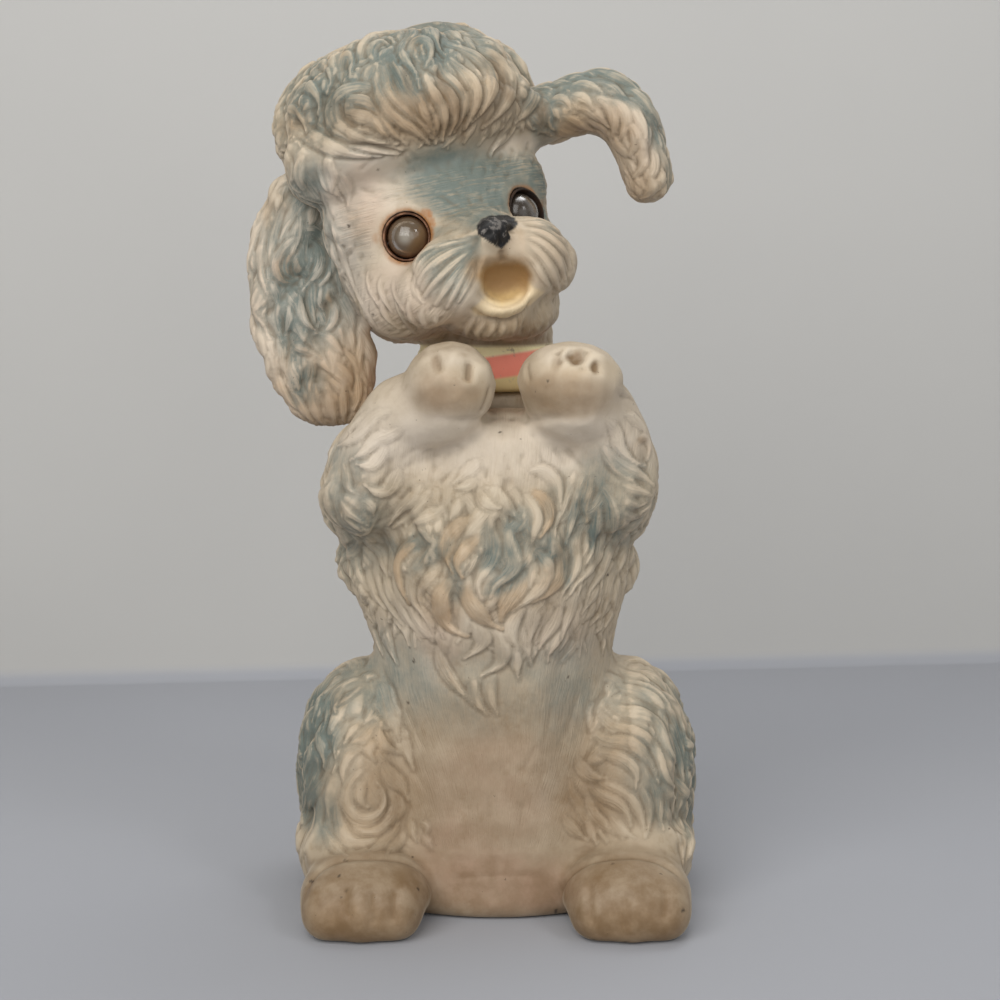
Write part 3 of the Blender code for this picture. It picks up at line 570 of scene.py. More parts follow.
hangingEarLocks = {
    "rim": (4, 0.5, [(300, 174), (317, 186), (327, 209), (334, 236), (344, 262), (354, 289), (365, 312),
                     (377, 331)]),
    "edgeA": (4, 0.8, [(279, 186), (270, 203), (262, 220), (256, 240)]),
    "edgeB": (4.5, 0.9, [(266, 215), (256, 232), (250, 251), (248, 272), (250, 289)]),
    "edgeC": (4, 0.8, [(271, 209), (264, 230), (260, 251), (260, 272), (266, 291), (273, 306)]),
    "edgeD": (4.5, 0.9, [(250, 293), (252, 308), (260, 324), (270, 339)]),
    "edgeE": (4, 0.8, [(258, 318), (260, 335), (264, 354), (268, 370)]),
    "edgeF": (4.5, 0.9, [(266, 354), (268, 374), (275, 389), (285, 402)]),
    "edgeG": (4.5, 0.9, [(273, 362), (279, 383), (290, 402), (304, 414)]),
    "rightA": (4, 0.8, [(369, 324), (369, 343), (367, 360), (369, 377), (373, 391)]),
    "rightB": (4, 0.8, [(359, 328), (361, 345), (358, 360), (359, 377), (367, 393)]),
    "rightC": (3.5, 0.7, [(350, 324), (352, 339), (354, 352)]),
    "leafLong": (5, 0.9, [(296, 199), (292, 215), (285, 224), (279, 240), (275, 257)]),
    "leafSide": (4, 0.8, [(285, 203), (279, 220), (273, 240), (271, 259), (273, 278)]),
    "arcOuter": (6, 1, [(298, 232), (314, 229), (326, 242), (331, 259), (329, 276), (319, 286)]),
    "arcInner": (5, 0.8, [(304, 240), (315, 242), (321, 255), (319, 270), (310, 282), (302, 291)]),
    "ovalOuter": (5, 1, [(300, 234), (287, 243), (277, 259), (277, 276), (287, 284), (298, 278)]),
    "ovalInner": (3.5, 0.7, [(292, 253), (285, 262), (285, 274), (292, 278)]),
    "leafRun": (4.5, 0.9, [(268, 293), (273, 312), (281, 331), (283, 351), (285, 370), (294, 389)]),
    "leafLowA": (4.5, 0.9, [(281, 301), (275, 316), (279, 333), (283, 343)]),
    "leafLowB": (4, 0.8, [(289, 303), (289, 320), (285, 335)]),
    "dropLeft": (4.5, 0.9, [(302, 289), (300, 306), (306, 324), (317, 331)]),
    "dropRight": (4.5, 1, [(323, 293), (333, 303), (334, 318), (327, 331), (315, 333)]),
    "dropHeart": (4, 0.8, [(314, 278), (312, 293), (312, 308), (315, 322)]),
    "curlA": (4, 0.8, [(290, 335), (296, 347), (310, 352), (321, 358)]),
    "curlB": (4.5, 0.8, [(315, 333), (329, 337), (338, 349), (348, 356)]),
    "stem": (5, 0.8, [(292, 347), (290, 364), (296, 381), (300, 395)]),
    "lobe": (5, 0.9, [(312, 354), (312, 370), (308, 385), (312, 396)]),
    "tuftA": (3.5, 0.8, [(325, 377), (334, 383), (342, 393), (344, 402)]),
    "tuftB": (3.5, 0.8, [(331, 360), (342, 368), (352, 379), (356, 391)]),
    "tuftC": (3, 0.7, [(342, 349), (352, 358), (359, 372)]),
    "tipA": (4.5, 1, [(287, 383), (296, 398), (306, 414), (317, 425)]),
    "tipB": (4.5, 1, [(312, 389), (312, 404), (319, 418), (327, 427)]),
    "tipC": (4.5, 1, [(329, 387), (329, 402), (334, 414), (336, 427)]),
    "tipD": (4, 0.9, [(342, 383), (344, 398), (344, 412), (344, 423)]),
    "tipE": (4, 0.9, [(356, 370), (359, 387), (358, 402), (354, 410)]),
}

flungEarLocks = {
    "backA": (5, 0.8, [(542, 88), (557, 75), (576, 70), (596, 72)]),
    "backB": (5, 0.8, [(582, 71), (602, 72), (620, 79), (636, 88), (645, 98)]),
    "backC": (5, 0.8, [(620, 84), (636, 92), (648, 104), (655, 117), (660, 130)]),
    "backD": (4.5, 0.8, [(645, 112), (653, 126), (658, 139), (663, 153)]),
    "backE": (4.5, 0.8, [(657, 145), (664, 159), (667, 172), (668, 184)]),
    "leafA": (4.5, 0.8, [(568, 88), (580, 82), (594, 87), (605, 95)]),
    "leafB": (5, 0.9, [(547, 104), (557, 98), (568, 100), (571, 110)]),
    "leafI": (5.5, 0.9, [(555, 123), (562, 133), (576, 135), (587, 132)]),
    "leafJ": (5, 0.9, [(557, 116), (570, 118), (584, 127), (598, 133)]),
    "leafD": (6, 0.9, [(574, 106), (586, 108), (598, 117), (609, 128)]),
    "leafC": (5, 0.9, [(567, 95), (579, 96), (589, 101), (593, 110)]),
    "leafE": (6, 1, [(591, 96), (605, 100), (613, 111), (614, 126), (613, 137)]),
    "leafF": (5.5, 1, [(607, 98), (619, 104), (626, 115), (626, 127), (620, 139)]),
    "leafG": (5, 0.9, [(623, 99), (634, 106), (640, 118), (645, 130), (647, 144)]),
    "leafM": (5, 0.9, [(627, 157), (632, 169), (636, 180), (640, 186)]),
    "leafH": (5.5, 1, [(627, 121), (635, 133), (636, 145), (629, 156)]),
    "leafK": (5, 1, [(638, 135), (644, 148), (645, 162), (638, 174), (633, 177)]),
    "leafL": (5, 0.9, [(651, 145), (656, 157), (655, 170), (648, 183)]),
    "leafP": (4.5, 0.9, [(634, 182), (639, 193), (645, 203)]),
    "leafN": (5, 0.9, [(648, 174), (653, 184), (650, 194), (640, 198)]),
    "leafO": (5, 0.9, [(661, 170), (664, 183), (661, 195), (653, 204)]),
}

muzzleLocks = {
    "leftOuter": (4, 0.7, [(412, 272), (412, 284), (416, 296), (423, 303)]),
    "leftTop": (4, 0.8, [(476, 237), (454, 241), (433, 246), (418, 256), (412, 270)]),
    "leftFoldA": (4.5, 0.9, [(476, 241), (457, 249), (438, 260), (423, 272), (416, 285)]),
    "leftFoldB": (4.5, 1, [(478, 244), (460, 258), (443, 273), (430, 287), (423, 297)]),
    "leftFoldC": (5, 1, [(480, 248), (467, 263), (454, 278), (442, 294), (435, 306)]),
    "leftFoldD": (5, 1, [(481, 251), (473, 266), (462, 282), (454, 296), (447, 310)]),
    "leftFoldE": (4, 0.7, [(478, 263), (473, 277), (466, 290), (459, 303)]),
    "rightTop": (4, 0.8, [(519, 216), (533, 210), (547, 209), (559, 216), (566, 227)]),
    "rightFoldA": (4.5, 0.8, [(521, 222), (540, 222), (557, 229), (569, 239), (576, 251)]),
    "rightFoldB": (4.5, 0.9, [(521, 229), (540, 230), (555, 239), (567, 253), (572, 268)]),
    "rightFoldC": (4.5, 0.9, [(522, 235), (538, 239), (552, 249), (562, 263), (566, 280)]),
    "rightFoldD": (4.5, 0.9, [(524, 244), (538, 251), (548, 263), (555, 277), (559, 290)]),
    "rightFoldE": (4, 0.7, [(526, 253), (535, 263), (543, 277), (550, 287)]),
}

cheekLocks = {
    "jawA": (4, 0.6, [(385, 289), (380, 304), (386, 318), (400, 330)]),
    "jawB": (4, 0.6, [(397, 289), (395, 304), (404, 320), (416, 334)]),
    "jawC": (4, 0.7, [(409, 297), (407, 313), (416, 325), (430, 335)]),
    "jawD": (4, 0.6, [(423, 306), (421, 320), (430, 330), (443, 339)]),
    "jawE": (3.5, 0.6, [(436, 315), (436, 325), (445, 334), (457, 339)]),
    "cheekA": (3.5, 0.5, [(369, 266), (366, 280), (371, 294), (378, 306)]),
    "cheekB": (3.5, 0.5, [(383, 272), (378, 285), (383, 299), (392, 313)]),
    "cheekC": (3.5, 0.5, [(397, 273), (392, 287), (397, 301), (405, 313)]),
    "chinA": (3.5, 0.6, [(478, 311), (471, 322), (466, 330), (467, 339)]),
    "chinB": (3.5, 0.6, [(486, 318), (481, 327), (476, 334), (478, 340)]),
    "chinC": (3.5, 0.6, [(495, 322), (492, 330), (488, 337)]),
    "chinD": (3.5, 0.6, [(505, 322), (503, 330), (500, 337)]),
    "chinE": (3.5, 0.5, [(516, 318), (515, 327), (512, 335)]),
}

chestLocks = {
    "plumeE": (5, 0.8, [(570, 624), (559, 640), (549, 656)]),
    "plumeD": (6, 0.9, [(524, 608), (516, 619), (511, 634), (519, 650)]),
    "plumeC": (5, 0.8, [(549, 605), (551, 618), (544, 632), (536, 643)]),
    "plumeB": (6, 1, [(547, 599), (536, 610), (532, 626), (528, 645)]),
    "plumeA": (6, 1, [(562, 600), (557, 618), (546, 634), (539, 648)]),
    "lowRightD": (5, 0.9, [(578, 594), (571, 611), (566, 626), (562, 640)]),
    "lowRightC": (7, 0.9, [(621, 544), (619, 564), (611, 581), (603, 595), (600, 611)]),
    "lowRightB": (7, 1, [(616, 524), (613, 543), (606, 560), (600, 575), (590, 589), (586, 603)]),
    "lowRightA": (6, 1, [(603, 519), (602, 538), (598, 556), (589, 572), (578, 583), (570, 595)]),
    "flameF": (6, 1, [(586, 516), (578, 535), (574, 552), (576, 564), (570, 579), (560, 597)]),
    "flameE": (5, 0.9, [(600, 500), (598, 519), (594, 535), (592, 551), (586, 564)]),
    "flameD": (6, 0.9, [(597, 481), (608, 496), (613, 514), (611, 532), (603, 548)]),
    "flameB": (6, 1, [(587, 468), (578, 489), (576, 509), (570, 527), (566, 544)]),
    "flameC": (5, 0.9, [(592, 471), (589, 489), (584, 506), (587, 522)]),
    "flameA": (5, 0.9, [(578, 465), (570, 484), (563, 503), (557, 522), (554, 535)]),
    "leftDownA": (5, 0.8, [(380, 592), (391, 610), (404, 626)]),
    "leftDownB": (5, 0.8, [(390, 589), (398, 606), (409, 621), (422, 638)]),
    "leftDownC": (5, 0.8, [(409, 602), (414, 618), (426, 635), (433, 643)]),
    "leftDownD": (5, 0.8, [(414, 599), (423, 613), (429, 626), (433, 642)]),
    "bladeMain": (8, 1.1, [(455, 573), (447, 587), (439, 600), (441, 614), (450, 629), (468, 637)]),
    "blueFanB": (6, 0.9, [(447, 560), (433, 572), (422, 584), (418, 599), (425, 611)]),
    "blueFanA": (6, 0.9, [(444, 538), (428, 551), (422, 564), (412, 579), (412, 599), (422, 614), (433, 632)]),
    "leftCrescent": (7, 1.1, [(423, 536), (409, 546), (398, 556), (395, 572), (399, 589), (409, 603)]),
    "bladeWide": (8, 1.1, [(469, 579), (466, 595), (472, 608), (484, 619), (501, 630)]),
    "bigHook": (9, 1.2, [(524, 573), (520, 586), (511, 597), (503, 608), (501, 621)]),
    "hookRight": (7, 1, [(532, 544), (541, 557), (549, 568), (547, 584), (538, 595), (524, 603), (512, 611)]),
    "hookFar": (7, 1.1, [(552, 538), (560, 551), (562, 567), (557, 583), (547, 595), (533, 603)]),
    "curveMain": (7, 1, [(492, 509), (490, 525), (492, 541), (492, 556), (484, 570), (477, 584), (482, 600)]),
    "curveBlue": (7, 1, [(511, 519), (509, 535), (512, 551), (516, 564), (508, 575), (495, 586), (490, 599)]),
    "tanHookInner": (6, 1.1, [(482, 532), (471, 544), (460, 554), (456, 567), (463, 578)]),
    "tanHookOuter": (7, 1.2, [(477, 516), (463, 522), (450, 535), (445, 548), (447, 560), (453, 572)]),
    "crescentLow": (6, 1, [(520, 490), (530, 501), (538, 514), (535, 530), (532, 544)]),
    "crescentTan": (6, 1.1, [(528, 489), (541, 496), (549, 509), (549, 522), (539, 538)]),
    "crescentTop": (6, 1, [(524, 474), (541, 469), (554, 479), (560, 493), (559, 509)]),
    "tipRightC": (5, 0.8, [(512, 487), (516, 500), (520, 511)]),
    "tipRightB": (6, 0.9, [(501, 489), (503, 500), (511, 512), (520, 520)]),
    "tipRightA": (6, 0.9, [(479, 485), (479, 496), (488, 506), (501, 508)]),
    "strapE": (6, 0.7, [(482, 457), (469, 471), (452, 484)]),
    "strapF": (5, 0.7, [(479, 477), (466, 487), (455, 487)]),
    "strapD": (5, 0.8, [(460, 496), (456, 509), (450, 519)]),
    "strapC": (6, 0.8, [(447, 503), (433, 514), (417, 519), (409, 528)]),
    "strapB": (5, 0.8, [(436, 484), (422, 500), (409, 516), (393, 527)]),
    "strapA": (5, 0.8, [(425, 479), (415, 496), (401, 509), (388, 525)]),
}

plumeLocks = {
    "pointE": (5, 0.8, [(547, 608), (539, 633), (530, 664)]),
    "pointD": (5, 0.8, [(530, 608), (527, 633), (530, 662)]),
    "pointC": (6, 0.9, [(506, 640), (515, 662), (519, 679)]),
    "pointB": (6, 0.9, [(496, 669), (488, 691), (498, 715)]),
    "pointA": (6, 0.9, [(474, 676), (474, 698), (488, 715)]),
    "pointF": (6, 0.9, [(438, 640), (442, 664), (457, 686), (472, 703)]),
    "pointG": (7, 1, [(467, 608), (481, 626), (481, 645), (464, 659)]),
    "pointH": (7, 1, [(486, 621), (501, 640), (501, 662), (481, 676)]),
    "pointI": (5, 0.8, [(561, 628), (554, 642), (548, 662)]),
}

rightArmLocks = {
    "curlA": (5, 0.8, [(373, 407), (361, 418), (350, 428), (348, 439)]),
    "curlB": (6, 0.8, [(399, 411), (382, 412), (369, 421), (357, 435), (338, 446)]),
    "curlC": (6, 0.8, [(408, 425), (392, 435), (376, 440), (361, 453), (350, 460)]),
    "curlD": (6, 0.8, [(385, 440), (382, 454), (371, 467), (355, 463)]),
    "curlG": (5, 0.8, [(331, 447), (326, 465), (324, 482)]),
    "curlH": (5, 0.8, [(341, 460), (348, 476), (347, 488), (359, 495)]),
    "curlI": (5, 0.8, [(326, 484), (326, 500), (332, 516), (343, 528)]),
    "curlJ": (5, 0.8, [(338, 495), (345, 510), (359, 521), (368, 526)]),
    "curlK": (5, 0.7, [(359, 498), (371, 505), (373, 516)]),
    "curlL": (4, 0.7, [(343, 519), (355, 528), (362, 533)]),
    "curlE": (7, 0.9, [(403, 463), (396, 477), (389, 490), (376, 493), (364, 484)]),
    "maneF": (5, 0.8, [(376, 554), (375, 572), (380, 591), (390, 609), (404, 626)]),
    "maneE": (5, 0.8, [(369, 563), (369, 581), (376, 598), (385, 609)]),
    "maneD": (5, 0.8, [(352, 540), (355, 558), (359, 575), (368, 591)]),
    "maneC": (5, 0.8, [(336, 551), (336, 570), (343, 588), (354, 602)]),
    "maneB": (5, 0.8, [(354, 572), (355, 589), (364, 605), (369, 612)]),
    "maneA": (5, 0.8, [(361, 537), (352, 551), (341, 560), (338, 572)]),
}

leftArmLocks = {
    "curlA": (5, 0.8, [(621, 413), (633, 417), (645, 429), (649, 443)]),
    "curlB": (6, 1, [(604, 415), (617, 433), (619, 449), (629, 461), (645, 466)]),
    "curlC": (4, 0.8, [(635, 447), (645, 437), (651, 447), (647, 459)]),
    "curlD": (6, 0.8, [(600, 441), (611, 459), (625, 474), (639, 486)]),
    "curlE": (5, 0.8, [(610, 453), (625, 466), (643, 476), (655, 486)]),
    "curlF": (5, 0.7, [(619, 480), (629, 488), (643, 492), (653, 496)]),
    "curlG": (5, 0.7, [(623, 500), (635, 506), (647, 504)]),
    "curlH": (4, 0.7, [(625, 512), (633, 518), (645, 514)]),
    "curlI": (4, 0.7, [(613, 385), (623, 391), (633, 399)]),
    "maneA": (6, 0.8, [(623, 528), (625, 552), (617, 571), (610, 587)]),
    "maneB": (6, 0.8, [(633, 540), (637, 563), (633, 585), (625, 603)]),
    "maneC": (6, 0.8, [(619, 563), (611, 585), (606, 605), (602, 617)]),
}

rightHaunchLocks = {
    "outerA": (5, 0.8, [(322, 687), (312, 715), (310, 743), (306, 759)]),
    "outerB": (5, 0.8, [(314, 727), (310, 751), (304, 774), (301, 796)]),
    "outerC": (5, 0.8, [(320, 751), (316, 774), (308, 794), (304, 810)]),
    "outerD": (5, 0.7, [(330, 766), (322, 782), (312, 798), (306, 818)]),
    "crescentA": (7, 1, [(355, 666), (336, 672), (324, 686), (318, 705), (312, 723)]),
    "crescentB": (6, 1, [(367, 676), (347, 682), (334, 693), (328, 709), (326, 725), (322, 733)]),
    "crescentC": (6, 0.9, [(346, 686), (336, 697), (336, 713)]),
    "tuftA": (5, 0.9, [(365, 715), (355, 725), (346, 739), (344, 745)]),
    "tuftB": (6, 0.9, [(379, 719), (367, 733), (353, 745), (342, 749)]),
    "sideA": (5, 0.8, [(353, 719), (340, 731), (334, 747), (336, 759)]),
    "roseA": (6, 0.9, [(367, 745), (349, 753), (342, 768), (344, 784)]),
    "roseB": (6, 0.9, [(328, 804), (328, 820), (338, 838), (353, 850)]),
    "roseC": (6, 0.9, [(342, 790), (338, 808), (340, 828), (351, 842), (369, 842), (385, 834)]),
    "roseD": (7, 1.1, [(383, 778), (393, 790), (397, 806), (389, 820), (373, 830), (357, 828), (346, 818)]),
    "roseE": (6, 1.1, [(373, 762), (355, 776), (347, 792), (347, 808), (359, 820), (375, 818), (385, 806),
                       (385, 792), (377, 782)]),
    "roseF": (5, 1, [(367, 778), (359, 790), (361, 804), (369, 808)]),
    "rightA": (5, 0.8, [(381, 723), (379, 735), (387, 747), (399, 753)]),
    "rightLeaf": (7, 1, [(381, 759), (389, 774), (401, 786), (409, 800)]),
    "rightB": (4, 0.8, [(411, 814), (411, 830), (417, 842)]),
    "rightC": (4, 0.8, [(419, 824), (428, 824), (426, 834)]),
    "rightD": (4, 0.8, [(421, 834), (428, 842), (432, 850)]),
    "footA": (5, 0.8, [(322, 822), (328, 838), (340, 852), (347, 855)]),
    "footB": (5, 0.8, [(401, 814), (393, 832), (379, 846), (363, 853)]),
    "footC": (5, 0.8, [(407, 828), (399, 842), (387, 853)]),
}

leftHaunchLocks = {
    "topA": (5, 0.8, [(615, 666), (629, 674), (645, 678), (651, 687)]),
    "topB": (5, 0.8, [(631, 680), (647, 686), (661, 695), (670, 705)]),
    "lineA": (6, 0.9, [(613, 678), (619, 686), (631, 689), (647, 695), (661, 705), (672, 719)]),
    "outerA": (5, 0.8, [(659, 699), (670, 711), (676, 729), (682, 749), (684, 768)]),
    "outerB": (5, 0.8, [(666, 725), (676, 747), (680, 768), (686, 790)]),
    "lineB": (7, 1, [(605, 691), (611, 705), (625, 711), (643, 713), (657, 723), (666, 743), (676, 763)]),
    "lineC": (7, 1, [(599, 699), (601, 715), (613, 727), (629, 732), (645, 739), (655, 753), (664, 774),
                     (676, 790)]),
    "outerC": (5, 0.8, [(666, 768), (676, 782), (688, 796), (694, 812)]),
    "outerD": (5, 0.8, [(666, 794), (668, 814), (678, 830), (688, 836)]),
    "lowA": (5, 0.8, [(649, 774), (657, 790), (659, 810), (663, 830)]),
    "lineD": (7, 1, [(589, 723), (599, 737), (613, 743), (629, 743), (643, 753), (653, 768), (659, 784)]),
    "curlA": (6, 1, [(595, 751), (611, 755), (627, 761), (637, 774), (635, 790)]),
    "lowB": (5, 0.9, [(639, 782), (647, 800), (649, 818), (647, 836)]),
    "curlB": (6, 0.9, [(591, 774), (607, 786), (623, 794), (635, 806), (643, 822), (645, 838)]),
    "curlC": (6, 0.9, [(587, 782), (599, 796), (615, 802), (627, 812), (631, 826)]),
    "curlD": (6, 0.9, [(576, 753), (580, 766), (591, 776), (607, 778)]),
    "lowC": (5, 0.8, [(570, 770), (572, 790), (582, 810), (595, 826), (607, 842)]),
    "lowD": (5, 0.8, [(586, 790), (591, 810), (607, 826), (623, 838)]),
    "lowE": (5, 0.8, [(607, 814), (619, 828), (635, 838)]),
    "footA": (5, 0.9, [(562, 812), (572, 828), (587, 840)]),
    "footB": (4, 0.8, [(586, 818), (591, 832), (597, 844)]),
}


# Body: mane, arms, chest plumes, haunches, feet, paws and tail

bodyValues = {
    "cell": 0.8, "rounds": 18, "torsoRounds": 45, "chestRounds": 30,
    "lockLook": {"strands": 2, "lean": 0.45, "crease": 0.45, "wide": 1.25, "tall": 0.8},
    "maneFlow": {"apart": 5.0, "long": 21, "half": 3.4, "rise": 0.85, "sway": 0.9, "strands": 2, "tip": 0.1},
    "haunchFlow": {"apart": 4.8, "long": 20, "half": 3.1, "rise": 0.8, "sway": 1.1, "strands": 2, "tip": 0.1},
    "tailFlow": {"apart": 4.2, "long": 13, "half": 2.5, "rise": 1.0, "sway": 1.6, "strands": 1, "tip": 0.2},
    "chestFur": {"apart": 3.2, "long": 10, "half": 0.8, "deep": 0.3, "sway": 0.4},
    "frontFlow": {"apart": 5.4, "long": 24, "half": 3.2, "rise": 0.5, "sway": 0.8, "strands": 2, "tip": 0.1},
}
chestTans = {0.6: ("tanHookOuter", "tanHookInner", "crescentTan", "leftCrescent"),
             0.45: ("hookFar", "bladeMain", "bladeWide", "bigHook", "flameC")}
chestTints = {name: [("tan", amount)] for amount, names in chestTans.items() for name in names}
pawMiddles, tailMiddle = ((-14, -42, 168), (22, -42, 169)), (0, 43, 37)
bodyGrooves = {                         # half width and depth in millimetres, and the marked line
    "rightFootOuter": (1.5, 0.9, [(347, 882), (346, 900), (349, 922)]),
    "rightFootMiddle": (1.4, 0.8, [(373, 888), (373, 908), (374, 928)]),
    "rightFootInner": (1.5, 0.9, [(395, 886), (395, 905), (393, 926)]),
    "leftFootInner": (1.5, 0.9, [(590, 878), (589, 903), (592, 930)]),
    "leftFootMiddle": (1.4, 0.7, [(627, 890), (627, 910), (626, 932)]),
    "leftFootOuter": (1.4, 0.8, [(664, 884), (667, 902), (663, 924)]),
    "rightPawA": (1.5, 1.3, [(471, 360), (469, 373), (469, 384)]),
    "rightPawB": (1.2, 0.7, [(434, 353), (438, 364), (441, 374)]),
    "rightPawEdge": (1.0, 0.8, [(491, 384), (486, 402), (479, 415)]),
    "leftPawA": (1.6, 1.2, [(557, 349), (558, 359), (561, 367)]),
    "leftPawB": (2.4, 2.0, [(568, 350), (575, 356), (580, 365)]),
    "leftPawC": (1.1, 1.0, [(587, 348), (583, 360), (582, 374)]),
    "leftPawD": (1.8, 1.2, [(594, 361), (597, 367), (595, 373)]),
    "leftPawEdge": (1.0, 0.8, [(527, 363), (527, 374), (531, 384)]),
    "beltSeam": (0.8, 0.35, [(446, 881), (468, 877), (500, 876), (520, 875), (546, 878)]),
    "rightFootTop": (1.8, 1.1, [(302, 908), (310, 880), (330, 863), (362, 857), (398, 859), (424, 872),
                                (436, 900)]),
    "leftFootTop": (1.8, 1.1, [(558, 906), (565, 880), (588, 862), (620, 856), (652, 859), (676, 872),
                               (693, 896)]),
    "bellyStrokeA": (1.0, 0.35, [(538, 738), (531, 757), (517, 776)]),
    "bellyStrokeB": (1.0, 0.3, [(553, 700), (548, 728), (540, 752)]),
    "bellyStrokeC": (1.0, 0.35, [(523, 800), (520, 815), (522, 830)]),
    "bellyStrokeD": (1.0, 0.3, [(489, 790), (488, 806), (488, 824)]),
    "bellyStrokeE": (1.0, 0.35, [(380, 664), (392, 686), (402, 712)]),
    "bellyStrokeF": (1.0, 0.3, [(404, 700), (414, 728), (430, 756)]),
    "bellyStrokeG": (1.0, 0.3, [(580, 690), (572, 716), (566, 738)]),
    "bellyStrokeH": (1.0, 0.3, [(412, 752), (418, 776), (430, 798)]),
    "chestFold": (1.6, 0.6, [(424, 414), (455, 421), (500, 417), (540, 420), (585, 414)]),
}

bodySkin = Skin("body_shell", [rod(*bodyPlug["neck"], neckPlace), rod(*bodyPlug["base"], squeakerPlace)],
                bodyValues["cell"], bodyValues["rounds"])
x, y, z = bodySkin.points.T
ax = np.abs(x)
fromPaws = np.minimum(*(farFrom(bodySkin.points, middle) for middle in pawMiddles))
maneMask = smooth(z, 96, 99) * smooth(z, 161, 158) * smooth(y, -24, -18)
frontMask = smooth(z, 98, 101) * smooth(z, 144, 138) * smooth(y, -17, -22) * smooth(fromPaws, 24, 30)
haunchMask = smooth(ax, 30, 34) * smooth(z, 6, 9) * smooth(z, 76, 72) * smooth(y, -22, -16)
tailMask = smooth(farFrom(bodySkin.points, tailMiddle), 19, 16) * smooth(y, 38, 41)
haunchMask = haunchMask * (1 - tailMask)
torsoMask = (smooth(z, 20, 26) * smooth(z, 112, 104) * smooth(ax, 44, 38) * smooth(y, 12, 2)
             + smooth(z, 26, 32) * smooth(z, 98, 94) * smooth(ax, 34, 28) * smooth(y, 14, 22) * (1 - tailMask))
chestMask = smooth(z, 120, 128) * smooth(z, 163, 158) * smooth(y, -14, -20) * smooth(fromPaws, 17, 21)
lowMask = np.maximum(smooth(torsoMask, 0.0, 0.5), smooth(z, 24, 14) * smooth(y, 0, -10))
sideMask = smooth(ax, 28, 34) * smooth(z, 104, 112) * smooth(y, 20, 8) * smooth(fromPaws, 20, 28)
bodySkin.soften(lowMask, bodyValues["torsoRounds"])
bodySkin.soften(sideMask, bodyValues["chestRounds"])


def awayFromPaws(point):
    return np.array((0.022 * (point[0] - 3), 0.0, -1.0))


def roundTail(point):
    off = point - np.array(tailMiddle)
    return np.array((-off[2], 0.0, off[0])) * 0.8 + np.array((0, 0, -6.0))


def overHaunch(point):
    return np.array((0.0, 0.35, -1.0))


bodySkin.tint("lane")[:] = x / (0.4 + 0.6 * smooth(z, 5, 95)) + 1.2 * np.sin(z * 0.11)
bodySkin.tint("along")[:] = z
bodySkin.tint("fur")[:] = 0.75 * np.maximum(torsoMask, chestMask)
furStrokes(bodySkin, chestMask, awayFromPaws, bodyValues["chestFur"], 15)
for mask, towards, flow, seed in (
        (haunchMask, overHaunch, "haunchFlow", 12), (frontMask, downwards, "frontFlow", 16),
        (maneMask, downwards, "maneFlow", 13), (tailMask, roundTail, "tailFlow", 14)):
    flowLocks(bodySkin, mask, towards, bodyValues[flow], lowestFirst, seed)
for locks in (plumeLocks, chestLocks, rightArmLocks, leftArmLocks, rightHaunchLocks, leftHaunchLocks):
    layPhotoLocks(bodySkin, locks, bodyValues["lockLook"], chestTints)
for half, deep, marks in bodyGrooves.values():
    cutPhotoGroove(bodySkin, marks, half, deep)
bodySkin.relief *= np.maximum(smooth(fromNeck(x, y), 21, 27), smooth(z, 158, 150))
bodySkin.relief *= smooth(z, 0.2, 2.5)
calmRelief(bodySkin, "body")


# Head: topknot, ears, muzzle, cheeks, lip and nose

headValues = {
    "cell": 0.7, "rounds": 18, "earRounds": 14, "lipRounds": 34, "foreheadRounds": 24,
    "lockLook": {"strands": 2, "lean": 0.35, "crease": 0.55, "wide": 1.25, "tall": 1.15},
    "earLook": {"strands": 1, "lean": 0.4, "crease": 0.45, "tip": 0.2, "wide": 1.2, "tall": 0.8},
    "muzzleLook": {"strands": 1, "strandDeep": 0.15, "lean": 0.0, "crease": 0.6, "root": 0.5, "tip": 0.45,
                   "sunk": 0.5, "tall": 0.6},
    "cheekLook": {"strands": 1, "crease": 0.5, "root": 0.3},
    "crownFlow": {"apart": 5.2, "long": 24, "half": 3.4, "rise": 1.0, "sway": 1.0, "strands": 2, "tip": 0.12},
    "fringeFlow": {"apart": 3.6, "long": 9, "half": 2.0, "rise": 0.6, "sway": 0.6, "strands": 1, "tip": 0.15},
    "napeFlow": {"apart": 4.8, "long": 18, "half": 3.2, "rise": 0.8, "sway": 0.9, "strands": 2, "tip": 0.12},
    "earFlow": {"apart": 4.4, "long": 16, "half": 2.6, "rise": 0.5, "sway": 0.8, "strands": 1, "tip": 0.15},
    "cheekFur": {"apart": 2.4, "long": 8, "half": 0.7, "deep": 0.34, "sway": 0.3},
}
faceGrooves = {
    "upperLip": (1.0, 0.9, [(501, 249), (502, 256), (503, 262)]),
    "lipInside": (1.2, 0.7, [(476, 288), (486, 300), (503, 305), (520, 298), (528, 281)]),
    "underLip": (1.4, 0.9, [(468, 304), (482, 317), (503, 322), (524, 313), (535, 293)]),
    "noseCrease": (0.7, 0.9, [(500, 232), (501, 239), (501, 247)]),
    "rightNostril": (1.2, 1.1, [(485, 232), (489, 236), (493, 235)]),
    "leftNostril": (1.2, 1.1, [(508, 231), (512, 233), (514, 229)]),
    "muzzleLeft": (1.5, 0.9, [(414, 250), (410, 268), (414, 289), (424, 305)]),
    "browWispA": (0.8, 0.5, [(398, 152), (405, 158), (411, 166)]),
    "browWispB": (0.8, 0.4, [(407, 151), (414, 156), (418, 163)]),
    "browWispC": (0.8, 0.4, [(376, 158), (368, 163), (360, 172)]),
    "templeWispA": (0.8, 0.45, [(504, 152), (500, 160), (499, 168)]),
    "templeWispB": (0.8, 0.45, [(514, 147), (512, 155), (510, 163)]),
    "templeWispC": (0.8, 0.45, [(529, 140), (527, 149), (524, 158)]),
    "templeWispD": (0.8, 0.45, [(540, 148), (536, 157), (532, 166)]),
}
